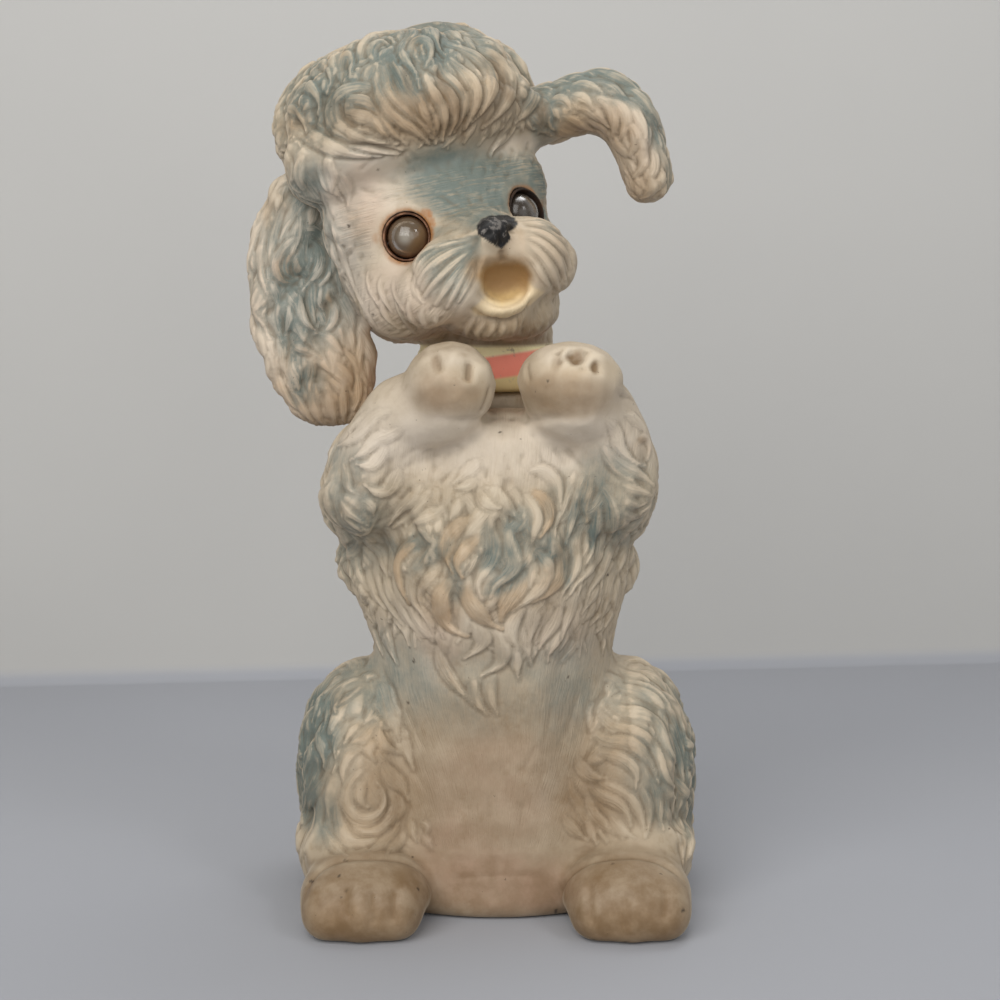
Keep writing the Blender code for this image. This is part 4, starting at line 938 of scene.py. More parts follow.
moustacheFans = {                       # curves from nose to fringe, strands laid between them, and their blue
    "left": ([[(482, 236), (458, 239), (436, 246), (419, 258), (411, 273)],
              [(484, 243), (464, 260), (448, 277), (433, 295), (423, 313)],
              [(485, 252), (479, 268), (470, 286), (461, 303), (453, 319)]], 16, 0.75),
    "right": ([[(517, 215), (533, 209), (549, 208), (562, 217), (570, 232)],
               [(519, 226), (539, 228), (556, 238), (569, 252), (575, 272)],
               [(522, 248), (533, 256), (542, 267), (549, 280), (554, 293)]], 13, 0.3),
}
moustacheHalf, moustacheDeep = (0.6, 0.85, 0.7), (0.4, 0.7, 0.3, 0.55)      # taken in turn
earLine = np.array(((12, 4, 250), (27, 3, 254.8), (35.6, 2, 253.6), (41, 1.5, 249), (45, 1, 240),
                    (47.4, 0, 228)))
crown = onHead(3, -2, 74)
noseTip = onHead(0, -52, -4)

headPlugs = [rod(eyePlug["radius"], eyePlug["low"], eyePlug[side], eyePlace(side)) for side in eyes]
headPlugs.append(rod(*headPlug["neck"], neckPlace))
headSkin = Skin("head_shell", headPlugs, headValues["cell"], headValues["rounds"])
x, y, z = headSkin.points.T
hx, hy, hz = headLocal(headSkin.points).T
fromHanging = np.maximum(smooth(x, -46, -50) * smooth(z, 241, 236), smooth(x, -40, -44) * smooth(z, 178, 172))
fromFlung = smooth(x, 21, 25) * smooth(z, 221, 224) * smooth(hx, 33, 37)
ears = np.maximum(fromHanging, fromFlung)
frontal = smooth(headSkin.facing, 0.1, 0.4) * smooth(hy, 2, -6)
bandLine = np.array([(318, 178), (333, 210), (343, 250), (357, 300), (369, 340), (372, 366)], dtype=float)
fromBand = alongLine(np.stack([headSkin.px, headSkin.py], 1), bandLine)[0]
earBand = smooth(fromBand, 17, 10) * smooth(headSkin.facing, 0, 0.2)
crownMask = smooth(hz, 30, 34) * (1 - ears) * (1 - frontal)
fringeMask = smooth(headSkin.py, 136, 126) * smooth(hz, 28, 32) * (1 - ears) * frontal
napeMask = smooth(hy, 6, 12) * smooth(hz, 36, 30) * smooth(z, 170, 174) * (1 - ears)
faceMask = smooth(hz, 22, 16) * smooth(hy, 8, 0) * (1 - ears) * smooth(z, 172, 178)
for side in eyes:
    radial, ahead, _ = inEye(side, headSkin.points)
    faceMask *= np.maximum(smooth(radial, 10, 12.5), smooth(ahead, -12, -20))
headSkin.soften(earBand * 0.9, headValues["earRounds"])
fromLip = np.hypot(headSkin.px - 503, (headSkin.py - 264) * 2.6)
headSkin.soften(smooth(fromLip, 44, 30) * smooth(headSkin.facing, -0.3, -0.1), headValues["lipRounds"])
foreheadMask = smooth(hz, 30, 24) * smooth(hy, 12, 4) * (1 - ears) * smooth(headSkin.facing, -0.2, 0.2)
headSkin.soften(foreheadMask * 0.8, headValues["foreheadRounds"])
muzzleFrom = np.linalg.norm(np.stack([hx / 24, (hy + 38) / 17, (hz + 13) / 14]), axis=0)
faceMask *= smooth(muzzleFrom, 0.95, 1.1)
onBrow = hz > 4
headSkin.tint("lane")[:] = np.where(onBrow, hz + 0.05 * hx, 30 * np.arctan2(hx - 3, -hz - 6))
headSkin.tint("along")[:] = np.where(onBrow, hx, np.hypot(hx - 3, hz + 4))
chinMask = smooth(hz, -8, -14) * smooth(hy, 0, -8) * (1 - ears)
headSkin.tint("fur")[:] = np.where(onBrow, 1.5, 0.8) * faceMask + 0.5 * chinMask


def fromCrown(point):
    off = point - crown
    return off / max(np.linalg.norm(off), 1) + np.array((0, 0, -0.45))


def farthestFirst(point):
    return -np.linalg.norm(point - crown)


def earStep(point):
    return int(farFrom(earLine, point).argmin())


def alongFlungEar(point):
    a, b = max(earStep(point) - 1, 0), min(earStep(point) + 1, len(earLine) - 1)
    return unit(earLine[b] - earLine[a])


def fromNose(point):                    # over the brow the strokes lie level, on the cheeks they fan down
    off = unit(point - noseTip)
    return off * np.array((1, 1, 0.15)) if off[2] > 0.2 else off + np.array((0, 0, -0.5))


for mask, towards, flow, order, seed in (
        (napeMask, downwards, "napeFlow", lowestFirst, 21),
        (crownMask, fromCrown, "crownFlow", farthestFirst, 22),
        (fringeMask, fromCrown, "fringeFlow", farthestFirst, 26),
        (fromHanging * (1 - earBand), downwards, "earFlow", lowestFirst, 23),
        (fromFlung, alongFlungEar, "earFlow", lambda p: -earStep(p), 24)):
    flowLocks(headSkin, mask, towards, headValues[flow], order, seed)
furStrokes(headSkin, faceMask, fromNose, headValues["cheekFur"], 25)
for locks, look in ((cheekLocks, "cheekLook"), (muzzleLocks, "muzzleLook"), (hangingEarLocks, "earLook"),
                    (flungEarLocks, "earLook"), (topknotLocks, "lockLook")):
    layPhotoLocks(headSkin, locks, headValues[look])
for curves, count, blueness in moustacheFans.values():
    for k, step in enumerate(np.linspace(0, len(curves) - 1.001, count)):
        a, share = int(step), step - int(step)
        marks = (1 - share) * np.array(curves[a], dtype=float) + share * np.array(curves[a + 1])
        cutPhotoGroove(headSkin, marks, moustacheHalf[k % 3], moustacheDeep[k % 4], 0.12,
                       [("blue", blueness * (1 - 0.6 * k / count))])
for half, deep, marks in faceGrooves.values():
    cutPhotoGroove(headSkin, marks, half, deep, 0.15)
for side in eyes:
    radial, ahead, _ = inEye(side, headSkin.points)
    beyond = np.maximum(smooth(ahead, -4, -12), smooth(ahead, 14, 18))
    headSkin.relief *= np.maximum(smooth(radial, 8.0, 10.8), beyond)
headSkin.relief *= np.maximum(smooth(fromNeck(x, y), 23, 27), smooth(z, 178, 182))
calmRelief(headSkin, "head")


# Tints, wear, and painted light and shade: soft spots placed on the photograph's view or in space, kept as
# numbers per point

softEdge = 0.45
# These measures of folds and hollows drive painted shade in them and a painted highlight on the ridges
hollows = {"valley": (8, 3.6), "basin": (30, 1.6)}      # rounds of smoothing to compare with, and gain


def spray(skin, name, spots, soft):        # px, py, half lengths, turn and amount
    tint = skin.tint(name)
    seen = smooth(skin.facing, 0.02, 0.3)
    for px, py, rx, ry, turn, amount in spots:
        c, s = cos(radians(turn)), sin(radians(turn))
        dx, dy = skin.px - px, skin.py - py
        reach = np.hypot((dx * c + dy * s) / rx, (dy * c - dx * s) / ry)
        tint[:] = 1 - (1 - tint) * (1 - amount * smooth(reach, 1.0 + soft, 1.0 - soft) * seen)


def sprayAt(skin, name, spots):
    tint = skin.tint(name)
    for cx, cy, cz, radius, amount in spots:
        reach = farFrom(skin.points, (cx, cy, cz)) / radius
        tint[:] = 1 - (1 - tint) * (1 - amount * smooth(reach, 1.3, 0.5))


def paint(skin, spotsSeen, spotsAt, crisp):
    for name, spots in spotsSeen.items():
        spray(skin, name, spots, crisp.get(name, softEdge))
    for name, spots in spotsAt.items():
        sprayAt(skin, name, spots)


def finishShape(skin):
    skin.setPoints(skin.points + skin.normals * skin.relief[:, None])
    skin.setPoints(skin.relax(skin.points, 1, 0.2))
    for name, (rounds, gain) in hollows.items():
        bend = ((skin.relax(skin.points, rounds) - skin.points) * skin.normals).sum(1)
        skin.tint(name)[:] = np.clip(bend * gain, -1, 1)
        skin.tint(name)[:] = skin.relax(skin.tint(name), 1)[:, 0]


bodyPaint = {
    # pale: partly paler rubber, partly painted light on the lit tops of the chest, arms and paws
    "pale": [(500, 446, 150, 34, 0, 0.6), (400, 420, 60, 40, -30, 0.5), (612, 420, 50, 34, 30, 0.4),
        (455, 352, 34, 12, 0, 0.3), (570, 352, 44, 12, 0, 0.25), (350, 470, 26, 40, 0, 0.35),
        (500, 620, 90, 50, 0, 0.25), (410, 660, 40, 50, 0, 0.3), (580, 680, 40, 50, 0, 0.25)],
    "blue": [(500, 548, 150, 44, 0, 0.16), (622, 500, 40, 50, 0, 0.4), (350, 530, 34, 60, 15, 0.36),
        (495, 690, 120, 36, 0, 0.3), (330, 730, 34, 80, 0, 0.35), (665, 740, 40, 80, 0, 0.35),
        (560, 690, 30, 60, 0, 0.2), (345, 476, 16, 30, 20, 0.45), (333, 455, 12, 16, 0, 0.33),
        (388, 548, 14, 10, 0, 0.41), (360, 520, 12, 34, 20, 0.33), (421, 541, 20, 9, -20, 0.57),
        (432, 556, 26, 8, -35, 0.45), (455, 582, 9, 22, 5, 0.53), (518, 531, 17, 22, 0, 0.61),
        (506, 581, 24, 10, -35, 0.78), (502, 560, 22, 14, 0, 0.49), (546, 549, 16, 16, 0, 0.7),
        (489, 548, 12, 24, 0, 0.49), (577, 516, 9, 26, 15, 0.7), (593, 533, 6, 18, 5, 0.82),
        (567, 563, 6, 26, 0, 0.57), (610, 516, 8, 26, -20, 0.57), (594, 500, 14, 30, 0, 0.41),
        (600, 470, 22, 26, 0, 0.29), (560, 500, 14, 30, 15, 0.29), (400, 690, 34, 46, 20, 0.34),
        (382, 655, 30, 30, 0, 0.34), (372, 700, 22, 24, 0, 0.34), (470, 715, 50, 26, 0, 0.18),
        (585, 668, 40, 40, 0, 0.22), (560, 745, 22, 60, 15, 0.2), (605, 735, 12, 60, 15, 0.26),
        (318, 740, 16, 46, 8, 1.0), (308, 790, 12, 34, 0, 0.9), (335, 690, 26, 26, 0, 0.45),
        (325, 820, 16, 26, 0, 0.6), (352, 668, 26, 16, 0, 0.35), (315, 655, 20, 12, 0, 0.4),
        (684, 770, 10, 46, -8, 0.75), (672, 740, 12, 30, -20, 0.5), (664, 800, 18, 26, 0, 0.6),
        (655, 700, 16, 20, 0, 0.25), (690, 815, 8, 26, 0, 0.6), (640, 770, 20, 30, 0, 0.25)],
    # tan stains; the two at the underside of the paws also paint the shade there
    "tan": [(600, 480, 22, 16, 0, 0.25), (545, 590, 16, 26, 0, 0.3), (440, 600, 26, 26, 0, 0.3),
        (500, 600, 22, 22, 0, 0.3), (340, 700, 8, 10, 0, 0.5), (370, 740, 26, 18, -20, 0.4),
        (375, 800, 46, 44, 0, 0.35), (600, 740, 46, 22, 0, 0.3), (358, 924, 62, 24, 0, 0.55),
        (630, 926, 60, 24, 0, 0.6), (590, 800, 34, 40, 0, 0.3), (450, 392, 36, 22, 0, 0.3),
        (560, 392, 44, 24, 0, 0.35), (640, 450, 10, 10, 0, 0.3)],
    "pink": [(495, 790, 60, 56, 0, 0.3), (500, 885, 80, 30, 0, 0.6), (546, 890, 26, 20, 0, 0.5),
        (455, 850, 40, 30, 0, 0.4), (440, 640, 20, 40, 0, 0.2), (560, 640, 30, 30, 0, 0.15)],
    # brown: marks and dirt on the feet, and painted shade under the paws and in the paw and foot creases;
    # darker towards the bottom of the belly
    "brown": [(366, 902, 78, 48, 0, 0.98), (626, 902, 76, 50, 0, 0.98), (358, 920, 52, 22, 0, 1.0),
        (352, 918, 12, 15, 0, 1.0), (630, 924, 56, 22, 0, 1.0), (303, 890, 8, 26, 20, 0.6),
        (345, 858, 40, 4, -8, 0.5), (620, 857, 40, 4, 0, 0.4), (495, 800, 120, 110, 0, 0.62),
        (495, 890, 90, 34, 0, 0.6), (350, 800, 60, 50, 0, 0.2), (630, 800, 60, 60, 0, 0.25),
        (452, 400, 40, 20, 0, 0.4), (430, 390, 14, 26, 0, 0.3), (570, 398, 54, 20, 0, 0.45),
        (530, 372, 10, 26, 0, 0.3), (436, 362, 5, 10, 0, 0.5), (470, 372, 4, 10, 0, 0.5),
        (572, 357, 8, 5, 0, 0.8), (548, 380, 8, 10, 0, 0.3), (379, 916, 10, 20, 0, 0.9),
        (320, 908, 20, 22, 0, 0.7), (625, 914, 9, 14, 0, 0.9), (664, 915, 5, 14, 0, 0.5),
        (590, 905, 9, 24, 0, 0.6), (577, 357, 6, 8, 30, 1.0), (595, 367, 4, 7, 0, 0.9),
        (556, 363, 5, 9, 0, 0.45), (552, 392, 34, 16, 0, 0.3), (566, 405, 40, 12, 0, 0.4),
        (455, 400, 34, 14, 0, 0.35), (430, 380, 30, 26, 0, 0.15), (600, 640, 30, 40, 0, 0.2),
        (642, 440, 5, 4, 0, 0.7), (560, 690, 20, 40, 0, 0.15)],
    "speck": [(499, 433, 0.8, 0.8, 0, 1), (496, 442, 1, 0.7, 20, 1), (414, 661, 0.9, 2.5, 20, 1),
        (408, 702, 1, 1.2, 0, 1), (568, 677, 0.8, 0.8, 0, 1), (418, 889, 1, 2, -10, 1),
        (556, 911, 1.4, 2.7, -20, 1), (565, 923, 0.9, 2.2, -40, 1), (412, 857, 0.9, 0.9, 0, 1),
        (683, 910, 1.5, 2, 0, 1), (692, 903, 1, 2.2, 0, 0.9), (339, 876, 0.9, 1.8, 0, 0.9),
        (608, 575, 0.8, 0.8, 0, 1), (544, 377, 0.9, 0.8, 0, 0.9), (548, 381, 0.8, 1.2, 0, 0.9),
        (570, 389, 0.9, 1.2, 0, 1), (545, 388, 0.8, 1.4, 20, 1), (346, 889, 1, 1, 0, 0.8),
        (341, 898, 0.9, 0.9, 0, 0.8), (310, 880, 2, 1.2, -30, 0.9), (612, 864, 0.9, 0.8, 0, 1),
        (669, 829, 0.8, 0.8, 0, 1), (593, 940, 3, 0.9, 0, 0.9), (625, 942, 3.8, 0.9, 0, 0.9),
        (345, 858, 1.8, 0.9, 0, 0.6), (500, 432, 0.6, 0.6, 0, 1), (524, 461, 0.8, 0.8, 0, 0.7)],
}
bodyPaintAt = {
    "blue": [(-55, 20, 128, 24, 0.5), (50, 22, 128, 24, 0.5), (-10, 44, 130, 26, 0.6), (30, 40, 112, 18, 0.4),
        (-66, 12, 44, 26, 0.8), (66, 14, 42, 24, 0.7), (0, 40, 78, 22, 0.4), (0, 54, 34, 14, 0.6),
        (-40, 42, 30, 20, 0.4), (40, 42, 30, 20, 0.4)],
    "tan": [(-30, 40, 146, 20, 0.5), (24, 42, 140, 20, 0.4), (-12, 46, 106, 16, 0.5), (-56, 26, 22, 18, 0.4),
        (56, 28, 24, 18, 0.4), (0, 52, 46, 12, 0.6)],
    "pink": [(0, 34, 60, 26, 0.4), (0, 36, 10, 30, 0.4)],
    # brown low at the base: darker towards the floor
    "brown": [(-45, 20, 4, 26, 0.35), (45, 20, 4, 26, 0.35), (0, 36, 4, 26, 0.35)],
}
paint(bodySkin, bodyPaint, bodyPaintAt, {"speck": 0.25})
finishShape(bodySkin)

headPaint = {
    # pale: partly a paler wash, partly painted light on the forehead under the fringe and on the hanging ear's
    # band
    "pale": [(365, 182, 50, 36, 0, 0.7), (375, 270, 50, 40, 0, 0.4), (430, 300, 60, 30, 0, 0.3),
        (530, 148, 40, 12, 0, 0.5), (545, 250, 40, 40, 0, 0.3), (320, 405, 60, 36, 0, 0.85),
        (375, 350, 14, 50, 0, 0.6), (250, 300, 18, 90, 0, 0.6), (620, 150, 40, 50, 0, 0.6),
        (330, 205, 13, 36, -18, 0.9), (343, 250, 13, 40, -14, 0.9), (358, 305, 14, 40, -16, 0.9),
        (300, 300, 50, 130, 0, 0.6), (310, 330, 40, 110, 0, 0.6)],
    "blue": [(420, 112, 110, 30, 0, 0.26), (400, 52, 130, 36, -12, 0.58), (320, 105, 50, 60, 20, 0.42),
        (500, 50, 60, 40, 20, 0.36), (430, 100, 150, 50, 0, 0.15), (370, 175, 50, 26, 0, 0.16),
        (305, 280, 34, 120, 0, 0.26), (600, 84, 60, 18, 6, 0.5), (545, 100, 22, 30, 0, 0.4),
        (556, 200, 24, 30, 0, 0.3), (345, 250, 20, 60, 0, 0.2), (452, 262, 26, 18, -30, 0.22),
        (450, 180, 46, 34, 0, 0.95), (478, 205, 34, 24, 0, 0.85), (430, 165, 26, 18, 0, 0.5),
        (525, 172, 24, 22, 0, 0.75), (548, 190, 16, 34, 0, 0.6), (500, 185, 26, 30, 0, 0.85),
        (440, 232, 26, 6, -8, 0.4), (430, 250, 26, 5, -28, 0.5), (447, 262, 26, 4, -45, 0.45),
        (464, 262, 26, 4, -55, 0.5), (550, 214, 16, 6, 8, 0.9), (560, 225, 16, 5, 20, 0.3),
        (350, 60, 8, 22, 0, 0.9), (318, 112, 22, 18, 30, 0.95), (326, 92, 16, 14, 0, 0.6),
        (385, 50, 14, 16, 0, 0.6), (418, 30, 34, 12, 5, 0.85), (400, 65, 12, 30, -20, 0.8),
        (416, 85, 7, 22, -25, 0.85), (432, 44, 16, 22, 0, 0.8), (448, 62, 12, 18, 0, 0.5),
        (365, 104, 24, 6, 10, 0.6), (345, 100, 10, 12, 0, 0.5), (470, 26, 30, 10, 10, 0.5),
        (455, 95, 8, 30, -25, 0.3), (300, 108, 10, 16, 0, 0.3), (328, 128, 16, 10, 30, 0.5),
        (306, 190, 20, 24, 0, 0.6), (312, 222, 18, 26, 0, 0.5), (308, 250, 18, 30, 0, 0.45),
        (298, 300, 24, 46, 0, 0.34), (285, 330, 8, 26, 0, 0.6), (298, 372, 9, 32, 0, 0.75),
        (312, 320, 20, 30, 0, 0.3), (275, 225, 6, 30, 10, 0.4), (310, 385, 16, 20, 0, 0.5),
        (262, 320, 6, 16, 0, 0.4), (322, 266, 14, 14, 0, 0.4), (590, 72, 50, 10, 4, 0.95),
        (560, 86, 22, 16, -20, 0.75), (632, 92, 30, 14, 35, 0.8), (655, 122, 10, 34, -14, 0.7),
        (668, 180, 4, 22, 0, 0.6), (540, 100, 16, 30, 0, 0.5), (600, 88, 30, 10, 10, 0.4),
        (545, 130, 12, 26, 0, 0.5)],
    "tan": [(400, 105, 40, 26, 30, 0.35), (440, 110, 26, 26, 0, 0.3), (420, 130, 40, 14, 0, 0.3),
        (478, 92, 22, 30, 0, 0.25), (345, 62, 5, 14, 0, 0.8), (392, 75, 6, 14, 0, 0.7),
        (300, 118, 10, 14, 0, 0.6), (375, 120, 34, 12, 20, 0.3), (418, 45, 5, 8, 0, 0.9),
        (493, 68, 14, 20, 0, 0.3), (288, 128, 10, 10, 0, 0.4), (258, 300, 12, 60, 0, 0.2),
        (300, 405, 40, 20, 10, 0.1), (340, 412, 36, 20, 0, 0.1), (373, 360, 12, 52, 0, 0.1),
        (288, 270, 14, 18, 0, 0.5), (352, 385, 24, 30, 0, 0.5), (328, 304, 5, 12, 0, 0.7),
        (270, 215, 6, 20, 0, 0.35), (580, 125, 50, 26, 10, 0.3), (625, 150, 24, 50, -15, 0.3),
        (650, 190, 20, 24, 0, 0.25), (572, 130, 20, 14, 0, 0.4), (556, 150, 16, 20, 0, 0.4),
        (540, 250, 34, 40, 0, 0.3), (500, 330, 40, 12, 0, 0.35), (390, 330, 30, 20, 0, 0.2),
        (444, 262, 10, 3, -42, 0.5), (476, 268, 12, 12, 0, 0.75), (500, 260, 26, 5, 0, 0.5)],
    "pink": [(360, 200, 26, 40, 0, 0.3), (395, 290, 40, 26, 0, 0.2), (285, 270, 14, 16, 0, 0.5),
        (440, 320, 40, 20, 0, 0.2)],
    # brown: stains in the topknot's creases, and painted shade under the chin, under the fringe, along the
    # ear's edge, in the collar's crease and at the top of the mouth
    "brown": [(455, 346, 46, 10, 8, 0.4), (520, 345, 40, 12, 0, 0.45), (540, 330, 20, 20, 0, 0.3),
        (330, 424, 30, 6, 10, 0.2), (376, 385, 5, 26, 0, 0.3), (376, 345, 8, 14, 0, 0.3),
        (640, 170, 14, 40, -15, 0.2), (574, 132, 20, 8, 20, 0.4), (504, 363, 1.6, 16, 0, 0.8),
        (478, 262, 12, 8, 0, 0.35), (526, 258, 14, 8, 0, 0.3), (503, 254, 6, 8, 0, 0.5),
        (425, 20, 120, 10, 0, 0.2), (470, 118, 5, 22, 20, 0.3), (400, 122, 100, 26, 0, 0.5),
        (470, 110, 70, 26, 0, 0.45), (474, 276, 6, 14, 10, 0.45), (497, 365, 1.2, 12, 0, 0.7),
        (480, 264, 9, 5, 0, 0.5), (500, 261, 16, 4, 0, 0.4), (543, 122, 7, 20, 0, 0.6),
        (454, 118, 6, 26, -20, 0.4), (502, 80, 6, 26, -20, 0.5), (446, 92, 5, 22, -25, 0.6),
        (408, 80, 4, 14, -20, 0.5)],
    "speck": [(348, 226, 1.0, 1.4, 0, 1), (336, 216, 0.9, 0.9, 0, 0.8), (372, 315, 1.0, 1.0, 0, 0.7),
        (566, 208, 1.2, 2.8, 0, 0.9), (483, 267, 1.0, 1.0, 0, 1), (378, 170, 0.9, 0.9, 0, 0.7),
        (397, 349, 0.8, 0.8, 0, 0.6), (430, 310, 0.8, 0.8, 0, 0.6)],
    "rust": [(379, 238, 7, 6, 0, 0.3), (426, 213, 6, 5, 30, 0.6), (432, 221, 3, 7, -20, 0.45),
        (545, 203, 6, 4, 20, 0.3)],
}
headPaintAt = {
    "blue": [(-20, 40, 236, 26, 0.6), (10, 34, 250, 22, 0.5), (-34, 34, 205, 22, 0.5), (8, 36, 206, 20, 0.5),
        (-60, 8, 200, 24, 0.7), (34, 16, 256, 16, 0.7), (-20, 36, 182, 16, 0.4), (-40, 24, 256, 18, 0.5)],
    "tan": [(-6, 42, 222, 18, 0.5), (-44, 30, 236, 18, 0.5), (-14, 10, 275, 20, 0.35), (-56, 8, 168, 20, 0.8),
        (46, 12, 232, 14, 0.7), (16, 30, 190, 16, 0.4), (-30, 44, 216, 12, 0.4)],
    "brown": [(-54, 4, 158, 12, 0.6)],
}
noseOutline = [(476, 226), (482, 218), (491, 215), (507, 214.5), (515, 218), (518, 224), (511, 232), (511, 239),
               (501.5, 249.5), (491, 243), (478, 235)]
mouthOutline = [(478, 275), (484, 267), (494, 263), (506, 263), (518, 262), (527, 266), (531, 274), (529, 284),
                (524, 292), (513, 300), (502, 303), (490, 299), (481, 288)]
lipMarks = [(-8.4, -40, -19.6), (-7, -43, -23.8), (-2, -45, -26.6), (5, -43.5, -26), (10.2, -41, -22.2),
            (11.6, -39, -17.5)]
paint(headSkin, headPaint, headPaintAt, {"speck": 0.3, "rust": 0.3})
for side in eyes:                                   # rust bleeds from each tin socket; the ring is darkest at the top, where it also paints the shadow under the brow
    radial, ahead, angle = inEye(side, headSkin.points)
    ring = smooth(radial, 9.4, 7.6) * smooth(ahead, -8, -3) * smooth(ahead, 20, 14)
    headSkin.tint("rust")[:] = np.maximum(headSkin.tint("rust"), ring * (0.78 + 0.22 * np.sin(angle)))


def insideOutline(skin, outline, soft=1.2):
    ring = np.array(outline)
    following = np.roll(ring, -1, axis=0)
    spots = np.stack([skin.px, skin.py], 1)
    near = (spots > ring.min(0) - 4).all(1) & (spots < ring.max(0) + 4).all(1) & (skin.facing > 0.0)
    near = np.flatnonzero(near)
    p = spots[near][:, None]
    step = following - ring
    share = np.clip(((p - ring) * step).sum(2) / (step ** 2).sum(1), 0, 1)
    gap = np.linalg.norm(p - ring - share[..., None] * step, axis=2).min(1)
    above = (ring[:, 1] > p[..., 1]) != (following[:, 1] > p[..., 1])
    cross = ring[:, 0] + step[:, 0] * (p[..., 1] - ring[:, 1]) / (step[:, 1] + 1e-9)
    inside = (above & (p[..., 0] < cross)).sum(1) % 2 == 1
    mask = np.zeros(skin.size)
    mask[near] = smooth(np.where(inside, gap, -gap), -soft / 2, soft / 2)
    return mask


# Painted trim: nose, collar, lips and the inside of the mouth

hx, hy, hz = headLocal(headSkin.points).T
noseFrom = np.linalg.norm(np.stack([hx / 8.6, (hy + 49.5) / 7.5, (hz + 3.4) / 6.4]), axis=0)
headSkin.tint("nose")[:] = np.maximum(insideOutline(headSkin, noseOutline),
                                      smooth(noseFrom, 1.0, 0.85) * smooth(headSkin.facing, 0.25, 0.05))
lipLine = np.array([onHead(*p) for p in lipMarks])
headSkin.tint("lip")[:] = smooth(alongLine(headSkin.points, lipLine)[0], 4.2, 2.8) * smooth(hy, -36, -39)
headSkin.tint("mouth")[:] = insideOutline(headSkin, mouthOutline, 8)
collarFrom = fromNeck(*headSkin.points.T[:2])
headSkin.tint("collar")[:] = smooth(collarFrom, 25.5, 24.2) * smooth(headSkin.points[:, 2], 179.5, 178)
finishShape(headSkin)
print("painted")


# The finished shells: skin outside, the CAD's hollow inside, and the same bores

def shellOf(skin, name, cuts, added, bores):
    piece = skin.piece
    for tool in cuts:
        carve(piece, tool)
    for tool in added:
        carve(piece, tool, "UNION")

    def build(bm):
        bm.from_mesh(piece.data)
        bm.from_mesh(skin.hollow.data)
    shell = linked(name, meshOf(name, build))
    for old in (piece, skin.hollow):
        bpy.data.objects.remove(old)
    carve(shell, together(*bores))
    mesh = shell.data
    tree = KDTree(skin.size)
    for index, p in enumerate(skin.points):
        tree.insert(p, index)
    tree.balance()
    source = np.array([tree.find(p)[1] for p in rowsOf(mesh.vertices, "co", 3) * 1000])
    for group, names in tintGroups.items():
        layer = mesh.attributes.new(group, "FLOAT_COLOR", "POINT")
        layer.data.foreach_set("color", np.stack([skin.tint(k)[source] for k in names], 1).ravel())
    mesh.shade_smooth()
    print(name, "faces:", len(mesh.polygons))
    return shell


# the age layer holds painted shade in folds and hollows, as well as brown patches and specks
tintGroups = {
    "softTint": ("blue", "tan", "pink", "rust"),
    "ageAndShade": ("valley", "basin", "brown", "speck"),
    "trim": ("nose", "lip", "mouth", "collar"),
    "strand": ("lane", "along", "fur", "pale"),
}
n, s, e = neck, squeakerSeat, eyeBore
post = lathed([(0, n["postFoot"]), (n["post"], n["postFoot"]), (n["post"], n["seat"]), (n["spigot"], n["seat"]),
               (n["spigot"], n["flangeLow"]), (n["flange"], n["flangeLow"]),
               (n["flange"] - n["flangeBevel"], n["flangeHigh"]), (0, n["flangeHigh"])], neckPlace)
bodyRubber = shellOf(
    bodySkin, "bodyRubber",
    [rod(n["bodyTrim"], n["seat"] - n["bodyTrimSink"], n["bodyTrimTop"], neckPlace)], [post],
    [rod(n["bore"], n["postFoot"], n["boreTop"], neckPlace),
     rod(s["hole"], s["under"], s["holeTop"], squeakerPlace),
     rod(s["recess"], s["under"], s["recessTop"], squeakerPlace)])
headRubber = shellOf(
    headSkin, "headRubber", [rod(n["collarTrim"], n["collarFoot"], n["collarLow"], neckPlace)], [],
    [rod(e["radius"], e["low"], e["high"], eyePlace(side)) for side in eyes]
    + [rod(n["spigot"] + n["gap"], n["postFoot"], n["socketTop"], neckPlace)])


# Shader node groups: each gives colours, values or heights that change over the surface

socketKinds = {"Place": "Vector", "Colour": "Color", "Tint": "Color", "Metal": "Color", "Tarnish": "Color"}


def newGroup(name, inputs, outputs):
    tree = bpy.data.node_groups.new(name, "ShaderNodeTree")
    for way, names in (("INPUT", inputs), ("OUTPUT", outputs)):
        for socketName in names:
            kind = socketKinds.get(socketName, "Float")
            tree.interface.new_socket(socketName, in_out=way, socket_type="NodeSocket" + kind)
    return tree, tree.nodes.new("NodeGroupInput").outputs, tree.nodes.new("NodeGroupOutput")


# Base_Color names an input and i0 counts them. A socket is linked, a plain value is set.

def feed(tree, node, **values):
    for key, value in values.items():
        socket = node.inputs[int(key[1:]) if key[1:].isdigit() else key.replace("_", " ")]
        if isinstance(value, bpy.types.NodeSocket):
            tree.links.new(value, socket)
        else:
            socket.default_value = value
    return node


def add(tree, kind, settings={}, **values):
    node = tree.nodes.new("ShaderNode" + kind)
    for key, value in settings.items():
        setattr(node, key, value)
    return feed(tree, node, **values)


def math(tree, operation, a, b=0.0, clamp=False):
    return add(tree, "Math", {"operation": operation, "use_clamp": clamp}, i0=a, i1=b).outputs[0]


def times(tree, a, b):
    return math(tree, "MULTIPLY", a, b)


def plus(tree, a, b, clamp=False):
    return math(tree, "ADD", a, b, clamp)


def minus(tree, a, b, clamp=False):
    return math(tree, "SUBTRACT", a, b, clamp)


def larger(tree, a, b):
    return math(tree, "MAXIMUM", a, b)


def length(tree, a, b):
    squares = [math(tree, "POWER", math(tree, "ABSOLUTE", side), 2.0) for side in (a, b)]
    return math(tree, "SQRT", plus(tree, *squares))


def ramp(tree, value, low, high, toLow=0.0, toHigh=1.0):
    return add(tree, "MapRange", {"interpolation_type": "SMOOTHSTEP"}, Value=value, From_Min=low, From_Max=high,
               To_Min=toLow, To_Max=toHigh).outputs[0]


